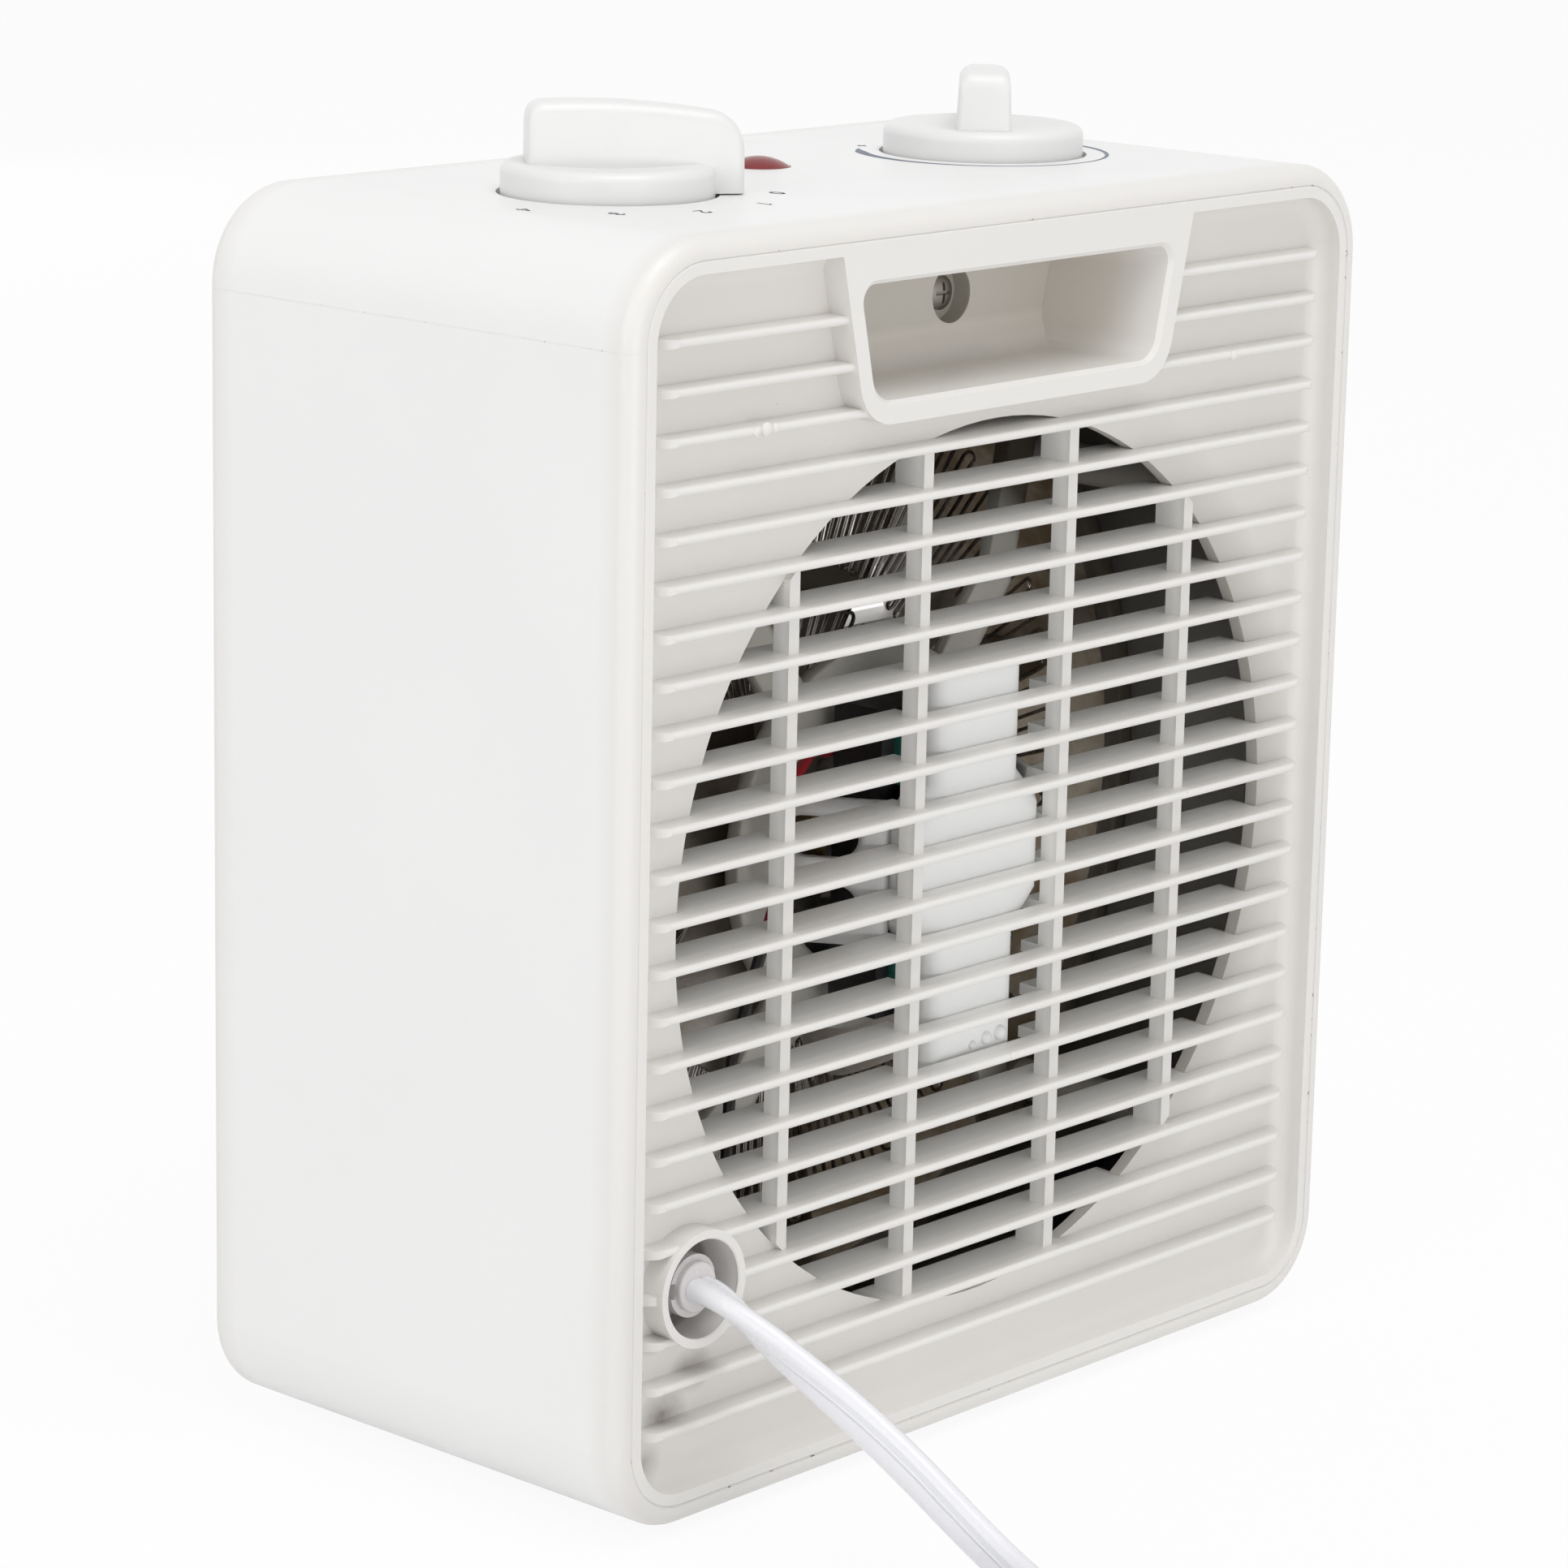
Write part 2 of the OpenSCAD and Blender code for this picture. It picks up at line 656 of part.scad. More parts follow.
module rear_panel() color(warm_white) difference() {
    union() {
        difference() {
            louvre_panel();
            slab(rear_y + over, body_d) grip_shape(grip_frame - 0.5, grip_frame - 0.5);
            rod_y(ring_x, ring_z, ring_r - 0.5, rear_y + over, body_d);
            // room for the motor cover behind the middle ribs
            translate([-bar_in + bar_w / 2 + 0.02, 0, axis_z - cover_h / 2 - 0.5])
                cube([2 * bar_in - bar_w - 0.04, cover_y + cover_clear, cover_h + 1]);
        }
        grip_shell();
        rod_y(ring_x, ring_z, ring_r, rear_y - 0.2, rear_y - 0.2 - well_back_y + well_back_t);
        // posts that carry the spider, and its ring
        for (a = [post_angle:90:359])
            rod_y(post_at * cos(a), axis_z + post_at * sin(a), post_r, floor_back_y + 0.5,
                  floor_back_y + 0.5 - spider_ring_y);
        panel_tabs();
    }
    grip_cavity();
    rod_y(grip_screw_x, grip_screw_z, grip_well_r, grip_back + over, grip_well_depth + over);
    rod_y(grip_screw_x, grip_screw_z, screw_r + 0.2, grip_back, 20);
    rod_y(ring_x, ring_z, ring_r - ring_wall, rear_y + over, rear_y + over - well_back_y);
    rod_y(ring_x, ring_z, bush_r - 1.2, rear_y, body_d / 2);
    for (a = [post_angle:90:359])
        rod_y(post_at * cos(a), axis_z + post_at * sin(a), screw_r, spider_ring_y + 12, 14);
}

module front_grille() color(warm_white) {
    mirror([0, 1, 0]) {
        louvre_panel();
        panel_tabs();
    }
}

module pocket_screw() color(steel)
    translate([grip_screw_x, grip_back - grip_well_depth - 8.5, grip_screw_z]) rotate([-90, 0, 0])
        screw(screw_r, 8.5, screw_head_r, 2.2);

// ---- Controls ----

// Side of the wing: x towards the pointer, y up from the top of the casing
module wing_side() {
    blunt = -14;
    arch_r = 158;
    intersection() {
        translate([blunt, 0]) square([pointer_r - blunt, wing_h + 1]);
        translate([-5, wing_h - arch_r]) circle(arch_r, $fn = 360);
        union() {
            translate([blunt, 0.3]) square([pointer_r - blunt - 6, wing_h - 3.3]);
            translate([blunt + 3, 0.3]) square([pointer_r - blunt - 9, wing_h]);
            translate([blunt + 3, wing_h - 3.2]) circle(3);
            translate([pointer_r - 7, wing_h - 9.4]) circle(7);
            translate([pointer_r - 8, 0.3]) square([8, wing_h - 9.7]);
        }
    }
}

// A knob with its pointer turned by angle from straight back
module knob(angle) {
    dish_depth = 0.8;
    dish_r = 17;
    dish_ball = (dish_r * dish_r + dish_depth * dish_depth) / (2 * dish_depth);
    edge_r = 2;
    translate([0, knob_y, 0]) rotate([0, 0, angle + 90]) difference() {
        union() {
            difference() {
                translate([0, 0, knob_low]) rotate_extrude() {
                    square([knob_r - edge_r, top_z + knob_h - knob_low]);
                    square([knob_r, top_z + knob_h - knob_low - edge_r]);
                    translate([knob_r - edge_r, top_z + knob_h - knob_low - edge_r]) circle(edge_r);
                }
                translate([0, 0, top_z + knob_h - dish_depth + dish_ball]) sphere(dish_ball, $fn = 200);
            }
            intersection() {
                translate([0, wing_t / 2, top_z]) rotate([90, 0, 0]) linear_extrude(wing_t) wing_side();
                hull() {
                    translate([-14, -wing_t / 2, top_z]) cube([14, wing_t, 0.1]);
                    translate([pointer_r - 1, -3.5, top_z]) cube([2, 7, 0.1]);
                    translate([-14, -wing_t / 2 + 1, top_z + wing_h]) cube([14, wing_t - 2, 0.1]);
                    translate([pointer_r - 1, -2.7, top_z + wing_h]) cube([2, 5.4, 0.1]);
                }
            }
        }
        translate([0, 0, knob_low - over]) cylinder(d = spindle_d + 0.1, h = spindle_top - knob_low + 2);
    }
}

module selector_knob() color(white) translate([knob_x, 0, 0]) knob(selector_angle);
module thermostat_knob() color(white) translate([-knob_x, 0, 0]) knob(thermostat_angle);

module spindle() {
    translate([0, knob_y, switch_top - spindle_into_switch])
        cylinder(d = spindle_d, h = spindle_top - switch_top + spindle_into_switch);
}
module selector_spindle() color(white) translate([knob_x, 0, 0]) spindle();
module thermostat_spindle() color(brass) translate([-knob_x, 0, 0]) spindle();

// Body of a control below its well, bored for its spindle and its two screws
module control_body(h) {
    difference() {
        union() {
            translate([-switch_w / 2, -switch_d / 2, -h]) cube([switch_w, switch_d, h]);
            for (x = [-10, 0, 10]) translate([x - 3, switch_d / 2 - 5, -h - 7]) cube([6.3, 0.8, 8]);
        }
        translate([0, 0, -spindle_into_switch - 0.5])
            cylinder(r = spindle_d / 2 + running, h = spindle_into_switch + 2);
        for (y = [-screw_spread, screw_spread]) translate([0, y, -8])
            cylinder(r = screw_r, h = 10);
    }
}

module selector_switch() color(dark) translate([knob_x, knob_y, switch_top]) control_body(switch_h);

module thermostat() color([0.85, 0.82, 0.74]) translate([-knob_x, knob_y, switch_top]) {
    control_body(12);
    // bimetal arm and contact stack below the body
    translate([-15, -4, -15]) cube([30, 8, 0.8]);
    translate([-14, -4, -14.3]) cube([5, 8, 2.4]);
}

module control_screws() color(steel) {
    for (x = [-knob_x, knob_x], y = [-screw_spread, screw_spread])
        translate([x, knob_y + y, well_floor_z - 8]) screw(screw_r, 8, 2.4, 0.5);
}

module pilot_lens() color([0.8, 0.1, 0.08]) translate([0, lens_y, 0]) {
    dome = (lens_d * lens_d / 4 + lens_rise * lens_rise) / (2 * lens_rise);
    difference() {
        union() {
            translate([0, 0, top_z - wall - 2]) cylinder(d = lens_d, h = wall + 2);
            translate([0, 0, top_z - wall - 2]) cylinder(d = lens_d + 3, h = 1.7);
            intersection() {
                translate([0, 0, top_z - 0.01]) cylinder(d = lens_d, h = lens_rise + 0.01);
                translate([0, 0, top_z + lens_rise - dome]) sphere(dome, $fn = 96);
            }
        }
        translate([0, 0, top_z - wall - 3]) cylinder(d = lens_d - 2.4, h = wall + 3);
    }
}

module pilot_lamp() color([0.9, 0.75, 0.6]) translate([0, lens_y, 0]) {
    translate([0, 0, top_z - wall - 6]) cylinder(d = lens_d - 3, h = 4);
    translate([0, 0, top_z - wall - 3]) cylinder(d = 5.5, h = 3);
    translate([0, 0, top_z - 2.75 - seat]) sphere(2.75);
}

// ---- Motor ----

// Outline of the motor cover: an upright bar with an octagon in its middle, shrunk by g
module cover_outline(g) {
    w = octagon_w / 2 - g;
    h = octagon_h / 2 - g;
    cut = 7 + g * 0.4;
    polygon([
        [-w, -h + cut], [-w + cut, -h], [w - cut, -h], [w, -h + cut],
        [w, h - cut], [w - cut, h], [-w + cut, h], [-w, h - cut]
    ]);
}

module cover_slice(y, g, bar) {
    slab(y, 0.05) translate([0, axis_z])
        if (bar) square([cover_w - 2 * g, cover_h - 2 * g], center = true);
        else cover_outline(g);
}

// One soft-edged block of the cover: slices that draw in towards the rear face
module cover_block(g, face_y, front_y, bar) {
    hull() {
        cover_slice(front_y + 0.05, g, bar);
        for (t = [0:22.5:90])
            cover_slice(face_y - cover_round * (1 - sin(t)), g + cover_round * (1 - cos(t)), bar);
    }
}

module motor_cover() color([0.95, 0.96, 0.95]) {
    front = cover_y - cover_depth;
    difference() {
        for (bar = [true, false]) cover_block(0, cover_y, front, bar);
        for (bar = [true, false]) cover_block(cover_wall, cover_y - cover_wall, front - over, bar);
    }
    // posts for the motor screws
    for (s = [-1, 1]) difference() {
        rod_y(0, axis_z + s * motor_screw_z, 2.4, cover_y - cover_wall + 0.5,
              cover_y - cover_wall + 0.5 - core_rear_y);
        rod_y(0, axis_z + s * motor_screw_z, screw_r, core_rear_y + 5, 6);
    }
}

module motor_core() color([0.25, 0.25, 0.27])
    slab(core_rear_y, core_t) translate([0, axis_z]) difference() {
        square([core_w, core_h], center = true);
        circle(bore_r);
        for (x = [0, 1], z = [0, 1]) mirror([x, 0]) mirror([0, z])
            translate([pole_w / 2, slot_low])
                square([core_w / 2 - limb_w - pole_w / 2, slot_high - slot_low]);
        for (s = [-1, 1]) translate([0, s * motor_screw_z]) circle(screw_r + 0.1);
    }

// Two taped coils round the upper and lower poles
module motor_coils() color([0.13, 0.42, 0.38]) {
    fit = 0.25;
    w = core_w / 2 - limb_w - fit;
    for (s = [0, 1]) translate([0, 0, axis_z]) mirror([0, 0, s])
        translate([0, core_rear_y - core_t / 2, slot_low + fit]) difference() {
            linear_extrude(slot_high - slot_low - 2 * fit) for (x = [-1, 1], y = [-1, 1]) {
                square([2 * w, core_t + 2 * coil_over - 4], center = true);
                square([2 * w - 4, core_t + 2 * coil_over], center = true);
                translate([x * (w - 2), y * (core_t / 2 + coil_over - 2)]) circle(2);
            }
            translate([0, 0, -over]) linear_extrude(slot_high)
                square([pole_w + 2 * fit, core_t + 2 * fit], center = true);
        }
}

// One bearing bracket: a strip across the side limbs with a boss for the shaft
module bracket() {
    difference() {
        union() {
            slab(bracket_t, bracket_t) square([core_w, bracket_w], center = true);
            slab(boss_h, boss_h) circle(boss_r);
        }
        slab(boss_h + over, boss_h + 2 * over) circle(shaft_d / 2 + running);
    }
}

module motor_brackets() color(steel) {
    translate([0, core_rear_y, axis_z]) bracket();
    translate([0, core_front_y, axis_z]) mirror([0, 1, 0]) bracket();
}

module motor_screws() color(steel) {
    for (s = [-1, 1]) translate([0, core_rear_y + 4, axis_z + s * motor_screw_z]) rotate([90, 0, 0])
        screw(screw_r, core_t + 4, 2.4, 1.8);
}

// Side plate of the spider: it leans outwards from the cover's octagon to the hub
module spider_side() {
    rear_x = octagon_w / 2 + seat;
    front_x = 33;
    t = 2;
    side_rear_y = rib_y - rib_depth - seat;
    difference() {
        translate([0, 0, -spider_side_h / 2]) linear_extrude(spider_side_h) polygon([
            [rear_x, side_rear_y], [rear_x + t, side_rear_y], [front_x + t, spider_hub_y],
            [front_x + t, spider_hub_y - 2], [front_x, spider_hub_y - 2], [front_x, spider_hub_y]
        ]);
        for (z = [-6.5, 6.5]) translate([rear_x - 5, cover_y - 16, z]) rotate([90, 0, 90])
            linear_extrude(30) rotate([0, 0, 90]) stadium(8, 13);
    }
}

// One arm from the hub out and forwards to the ring, drawn along +X
module spider_arm() {
    rear = spider_hub_y - 0.3;
    front = spider_hub_y - spider_hub_t + 0.3;
    bend = fan_r + 4;
    translate([0, 0, -spider_arm_w / 2]) linear_extrude(spider_arm_w) polygon([
        [spider_hole_r + 3, rear], [bend, rear], [spider_ring_in + 2, spider_ring_y + 1],
        [spider_ring_in + 2, drum_rear_y + 0.5], [spider_ring_in - 3, spider_ring_y - 1],
        [bend, front], [spider_hole_r + 3, front]
    ]);
}

module motor_spider() color([0.94, 0.94, 0.93]) translate([0, 0, axis_z]) {
    slab(spider_hub_y, spider_hub_t) difference() {
        circle(spider_hub_r);
        circle(spider_hole_r);
    }
    for (a = [spider_angle, 180 - spider_angle, 180 + spider_angle, -spider_angle])
        rotate([0, a, 0]) spider_arm();
    for (s = [0, 1]) mirror([s, 0, 0]) spider_side();
    slab(spider_ring_y, spider_ring_t) difference() {
        union() {
            circle(shield_r);
            for (a = [post_angle:90:359]) rotate(a) translate([post_at, 0]) circle(post_r + 0.8);
        }
        difference() {
            circle(spider_ring_in);
            for (a = [post_angle:90:359]) rotate(a) translate([post_at, 0]) circle(post_r + 0.8);
        }
        for (a = [post_angle:90:359]) rotate(a) translate([post_at, 0]) circle(screw_r + 0.2);
    }
}

module spider_screws() color(steel) {
    for (a = [post_angle:90:359])
        translate([post_at * cos(a), spider_ring_y + 10, axis_z + post_at * sin(a)])
            rotate([90, 0, 0]) screw(screw_r - 0.05, 10 + spider_ring_t, 3.2, 2);
}

// ---- Rotor and fan ----

module rotor() color(steel) difference() {
    rod_y(0, axis_z, rotor_d / 2, core_rear_y - 0.5, core_t - 1);
    rod_y(0, axis_z, shaft_d / 2, core_rear_y + over, core_t + 2 * over);
}

module fan_shaft() color([0.7, 0.7, 0.72])
    rod_y(0, axis_z, shaft_d / 2, core_rear_y + boss_h - 0.2,
          core_rear_y + boss_h - 0.2 - hub_front_y + 3);

module fan_hub() color(brass) difference() {
    rod_y(0, axis_z, hub_r / 2 + 1, fan_y + hub_t, 1.5 * hub_t);
    rod_y(0, axis_z, shaft_d / 2, fan_y + hub_t + over, 2 * hub_t);
}

// A sheet bent to a shallow cylinder about the blade's length, hollow towards the front, cut to a
// 2D shape seen from behind
module cambered() {
    camber_r = 38;
    intersection() {
        translate([0, 0, -20]) linear_extrude(40) children();
        translate([0, 0, camber_r]) rotate([0, 90, 0]) difference() {
            cylinder(r = camber_r + blade_t / 2, h = fan_r);
            translate([0, 0, -over]) cylinder(r = camber_r - blade_t / 2, h = fan_r + 2 * over);
        }
    }
}

// One pitched blade with round corners and its narrow root
module blade() {
    corner = 7;
    end_x = fan_r - 1.5;
    rotate([blade_pitch, 0, 0]) cambered() {
        translate([blade_root - 4, -5]) square([10, 10]);
        translate([blade_root, corner - blade_w / 2])
            square([end_x - blade_root, blade_w - 2 * corner]);
        translate([blade_root + corner, -blade_w / 2])
            square([end_x - blade_root - 2 * corner, blade_w]);
        for (x = [blade_root + corner, end_x - corner], y = [-1, 1])
            translate([x, y * (blade_w / 2 - corner)]) circle(corner);
    }
}

module fan_blades() color([0.55, 0.53, 0.5]) difference() {
    translate([0, fan_y, axis_z]) rotate([90, 0, 0]) {
        for (i = [0:blade_count - 1]) rotate([0, 0, 360 * i / blade_count + 10]) blade();
        translate([0, 0, -blade_t]) cylinder(r = blade_root, h = 2 * blade_t);
    }
    rod_y(0, axis_z, hub_r / 2 + 1, fan_y + 30, 60);
}

module fan_clip() color([0.75, 0.75, 0.77]) difference() {
    rod_y(0, axis_z, 4.5, hub_front_y, clip_t);
    rod_y(0, axis_z, shaft_d / 2, hub_front_y, 4);
}

// ---- Heating element ----

module heat_shield() color([0.66, 0.63, 0.58]) difference() {
    rod_y(0, axis_z, shield_r, drum_rear_y, drum_rear_y - drum_front_y);
    rod_y(0, axis_z, shield_r - drum_t, drum_rear_y + over, drum_rear_y - drum_front_y + 2 * over);
    translate([0, cutout_y, axis_z + shield_r - 4]) cylinder(r = cutout_r + 0.3, h = 8);
    for (a = terminal_angles) translate([0, zig_y, axis_z]) rotate([0, -a, 0])
        translate([shield_r - 4, 0, 0]) rotate([0, 90, 0]) cylinder(r = terminal_r, h = 8);
}

// Plates that cross in the middle; the wires lie on their rear edges
module mica_star() color([0.45, 0.36, 0.24]) {
    slab(mica_rear_y, mica_depth) translate([0, axis_z]) {
        circle(4);
        for (a = [34:45:179]) rotate(a) square([2 * mica_r, mica_t], center = true);
    }
}

// A point at radius r and angle a
function polar(r, a) = [r * cos(a), r * sin(a)];

// A closed ring of wire that runs out and back between two radii. Each turn is as wide as two
// wires on its outer side and comes to a point on its inner side.
module zigzag(r_in, r_out, count) {
    half = 180 / count;
    turn_out = wire_w / r_out * 180 / PI;
    turn_in = wire_w / r_in * 180 / PI;
    difference() {
        polygon([for (i = [0:count - 1]) let (a = 2 * half * i) each
            [polar(r_out, a - turn_out), polar(r_out, a + turn_out), polar(r_in + wire_w, a + half)]]);
        polygon([for (i = [0:count - 1]) let (a = 2 * half * i) each
            [polar(r_out - wire_w, a), polar(r_in, a + half - turn_in), polar(r_in, a + half + turn_in)]]);
    }
}

module outer_heating_wire() color([0.72, 0.7, 0.68])
    slab(zig_y + wire_w / 2, wire_w) translate([0, axis_z])
        zigzag(outer_zig_in, outer_zig_out, outer_zigs);

module inner_heating_wire() color([0.72, 0.7, 0.68])
    slab(zig_y + wire_w / 2, wire_w) translate([0, axis_z])
        zigzag(inner_zig_in, inner_zig_out, inner_zigs);

// Studs through the side of the drum, each with a ceramic collar outside it
module element_terminals() color(brass) {
    for (a = terminal_angles) translate([0, zig_y, axis_z]) rotate([0, -a, 0])
        translate([shield_r - 5, 0, 0]) rotate([0, 90, 0]) {
            cylinder(r = terminal_r - 0.2, h = 11);
            translate([0, 0, 5.2]) cylinder(r = terminal_r + 1.2, h = 2);
        }
}

module thermal_cutout() color([0.8, 0.8, 0.8]) translate([0, cutout_y, axis_z + shield_r]) {
    translate([0, 0, -5]) cylinder(r = cutout_r, h = 11);
    translate([-12, -5, 0.1]) cube([24, 10, 1]);
    for (x = [-4.5, 4.5]) translate([x - 3, -0.4, 5]) cube([6, 0.8, 7]);
}

// ---- Electrics in the space between the drum and the rear panel ----

module tilt_switch() color(dark) translate([tilt_x, tilt_y, base_z + wall]) {
    translate([-10, -7, seat]) cube([20, 14, 24]);
    translate([-14, -7, seat]) cube([28, 14, 2]);
    for (x = [-5, 5]) translate([x - 2.4, -0.4, 24]) cube([4.8, 0.8, 8]);
}

module terminal_block() color([0.9, 0.9, 0.86])
    translate([block_x - block_w / 2, block_rear_y - block_h, block_low]) difference() {
        cube([block_w, block_h, block_h]);
        for (x = [6, 16]) translate([x, block_h - 4, 5]) cylinder(r = 2, h = block_h);
    }

module line_leads() color([0.93, 0.92, 0.9]) {
    start_y = well_back_y - well_back_t - 5;
    front_y = block_rear_y - block_h;
    for (s = [-2, 2]) lead([
        [ring_x + s, start_y - seat, ring_z], [ring_x + s, start_y - 3, ring_z],
        [ring_x + s - 0.5, start_y - 6, ring_z - 3], [ring_x + s - 3, start_y - 8, ring_z - 12],
        [ring_x + s - 9, start_y - 9, ring_z - 24], [block_x + s + 20, front_y - 7, block_low + 6],
        [block_x + s + 12, front_y - 7 + s / 2, block_low + 6], [block_x + 2 * s, front_y - 3, block_low + 6],
        [block_x + 2 * s, front_y - seat, block_low + 6]
    ], 2.6, [0, 0.1, 1]);
}

module motor_lead() color([0.72, 0.08, 0.1])
    lead([
        [core_w / 2 - limb_w + 0.05, core_front_y - 1.5, axis_z + 20],
        [18, core_front_y - 1.5, axis_z + 20], [24, core_front_y + 1, axis_z + 22],
        [34, core_front_y + 5, axis_z + 18], [40, core_front_y + 8, axis_z + 8],
        [43, core_front_y + 9, axis_z - 4], [50, core_front_y + 10, axis_z - 18],
        [57, core_front_y + 12, axis_z - 30], [58, core_front_y + 12, axis_z - 48],
        [54, core_front_y + 12, block_low + 34], [47, block_rear_y - 4, block_low + 22],
        [block_x + 4, block_rear_y - 7, block_low + block_h + 4],
        [block_x + 4, block_rear_y - 7, block_low + block_h + seat]
    ], 2.4, [0, 1, 0]);

module element_leads() color([0.88, 0.86, 0.8]) {
    r = shield_r + 7;
    tab_z = switch_top - switch_h - 7;
    for (i = [0, 1, 2]) {
        x = r * cos(terminal_angles[i]);
        z = axis_z + r * sin(terminal_angles[i]);
        end_x = knob_x + 10 - 10 * i;
        end_y = knob_y + switch_d / 2 - 4.6;
        mid = (x + end_x) / 2;
        lead([
            [x, zig_y, z], [x * 0.97 + end_x * 0.03, zig_y + 2, z * 0.8 + switch_top * 0.2 - 3],
            [mid, spider_ring_y - 2, axis_z + sqrt(pow(shield_r + 6, 2) - mid * mid)],
            [end_x, end_y + 1.25, tab_z - 4], [end_x, end_y, tab_z - 2], [end_x, end_y, tab_z - seat]
        ], 2.2, [0, 1, 0]);
    }
}

module lamp_lead() color([0.88, 0.86, 0.8])
    lead([
        [0, lens_y, top_z - wall - 6 - seat], [0, lens_y, top_z - wall - 9],
        [3, lens_y + 2, top_z - wall - 13],
        [14, lens_y + 6, top_z - wall - 18], [26, knob_y + 8, switch_top - switch_h + 10],
        [knob_x - switch_w / 2 - 4, knob_y + 8, switch_top - switch_h + 10],
        [knob_x - switch_w / 2 - seat, knob_y + 8, switch_top - switch_h + 10]
    ], 2, [0, 1, 0]);

// ---- Cord ----

module strain_relief() color([0.93, 0.93, 0.94]) {
    neck_r = bush_r - 1.4;
    difference() {
        union() {
            rod_y(ring_x, ring_z, neck_r, bush_face_y - 1, bush_face_y - well_back_y + well_back_t + 4);
            rod_y(ring_x, ring_z, bush_r, bush_face_y, bush_flange_t);
            rod_y(ring_x, ring_z, bush_r - 0.4, well_back_y - well_back_t - seat, 2.5);
            rod_y(ring_x, ring_z, bush_r - 0.6, well_back_y + 2.5, 2.2);
        }
        // slots moulded into the flange beside the cord
        for (s = [-1, 1]) slab(bush_face_y + over, bush_flange_t + over)
            translate([ring_x + s * (bush_r - 0.6), ring_z]) square([1.2, 3], center = true);
    }
}

module supply_cord() color([0.94, 0.94, 0.95])
    oval_tube(cord_route, cord_w / 2, cord_t / 2, cord_roll, cord_sides, [0, 0, 1],
              [[0, 1, 0], [0, 1, 0]]);

// Share of the climb done at a given turn angle, eased at both ends
function climb(a) =
    let (u = min(1, max(0, (a - 360 * coil_turns) / 180)))
    u * u * (3 - 2 * u);

// Radius of the coil after it has turned by a: in, and out again from the middle of the climb
function coil_radius(a) =
    let (middle = 360 * coil_turns + 90)
    coil_r - coil_pitch * (middle - abs(a - middle)) / 360;

// A point of the coil; it starts heading +Y at the side nearest the heater and turns clockwise
function coil_point(a) = [
    coil_x - coil_radius(a) * cos(a), coil_y + coil_radius(a) * sin(a),
    coil_z1 + coil_layer * climb(a)
];

coil_route = concat(
    [[coil_x - coil_r, coil_y - coil_lead, coil_z1]],
    [for (i = [0:coil_steps]) coil_point(coil_arc * i / coil_steps)],
    [[coil_x + coil_r, plug_y, coil_z2]]
);

module cord_coil() color([0.94, 0.94, 0.95])
    oval_tube(coil_route, cord_t / 2, cord_w / 2, [for (p = coil_route) 0], coil_sides, [0, 0, 1],
              [[0, 1, 0], [0, -1, 0]]);

// Half the extent of the cord's oval along a unit direction with sideways part u and upright v
function half_extent(u, v) = sqrt(pow(cord_t / 2 * u, 2) + pow(cord_w / 2 * v, 2));

// Gap between two places of the coil, from the oval's extent along the line between them
function coil_gap(p, q) =
    let (d = q - p, l = norm(d), flat = norm([d[0], d[1]]) / l)
    l - 2 * half_extent(flat, d[2] / l);

least_gap = min([for (i = [0:coil_steps - coil_rings / 2], j = [i + coil_rings / 2:coil_steps])
    coil_gap(coil_point(coil_arc * i / coil_steps), coil_point(coil_arc * j / coil_steps))]);
function length_of(route) =
    norm_sum([for (i = [1:len(route) - 1]) norm(route[i] - route[i - 1])]);
function norm_sum(v) = v * [for (x = v) 1];
echo(coil_least_gap = least_gap, free_length = length_of(cord_route), coil_length = length_of(coil_route));

// A band round the bundle of turns
module cord_tie() color([0.2, 0.2, 0.2]) {
    low = coil_z1 - cord_w / 2 - tie_gap;
    high = coil_z2 + cord_w / 2 + tie_gap;
    r_out = coil_r + cord_t / 2 + tie_gap;
    r_in = coil_r - coil_pitch * (coil_turns + 0.25) - cord_t / 2 - tie_gap;
    translate([coil_x, coil_y, 0]) rotate([0, 0, tie_angle]) rotate([90, 0, 0])
        linear_extrude(tie_w, center = true) difference() {
            translate([r_in - tie_t, low - tie_t])
                square([r_out - r_in + 2 * tie_t, high - low + 2 * tie_t]);
            translate([r_in, low]) square([r_out - r_in, high - low]);
        }
}

// The plug lies on its narrow edge, so that its pins stand one above the other
module plug_body() color([0.94, 0.94, 0.95]) translate([plug_x, plug_y, coil_z2]) rotate([90, 0, 0])
    hull() {
        $fn = hull_fn;
        linear_extrude(0.1) rounded_box(cord_t + 4, cord_w + 4, 3);
        translate([0, 0, 12]) linear_extrude(plug_l - 15) rounded_box(plug_t, plug_w, 5);
        translate([0, 0, plug_l - 0.1]) linear_extrude(0.1) rounded_box(plug_t - 2, plug_w - 2, 4);
    }

// A rectangle w by h with round corners
module rounded_box(w, h, r) {
    square([w - 2 * r, h], center = true);
    square([w, h - 2 * r], center = true);
    for (x = [-1, 1], y = [-1, 1]) translate([x * (w / 2 - r), y * (h / 2 - r)]) circle(r);
}

module plug_blades() color(brass) {
    for (s = [-1, 1]) translate([plug_x, plug_y - plug_l, coil_z2 + s * blade_gap / 2])
        rotate([90, 0, 0]) linear_extrude(pin_l) square([pin_h, pin_t], center = true);
}

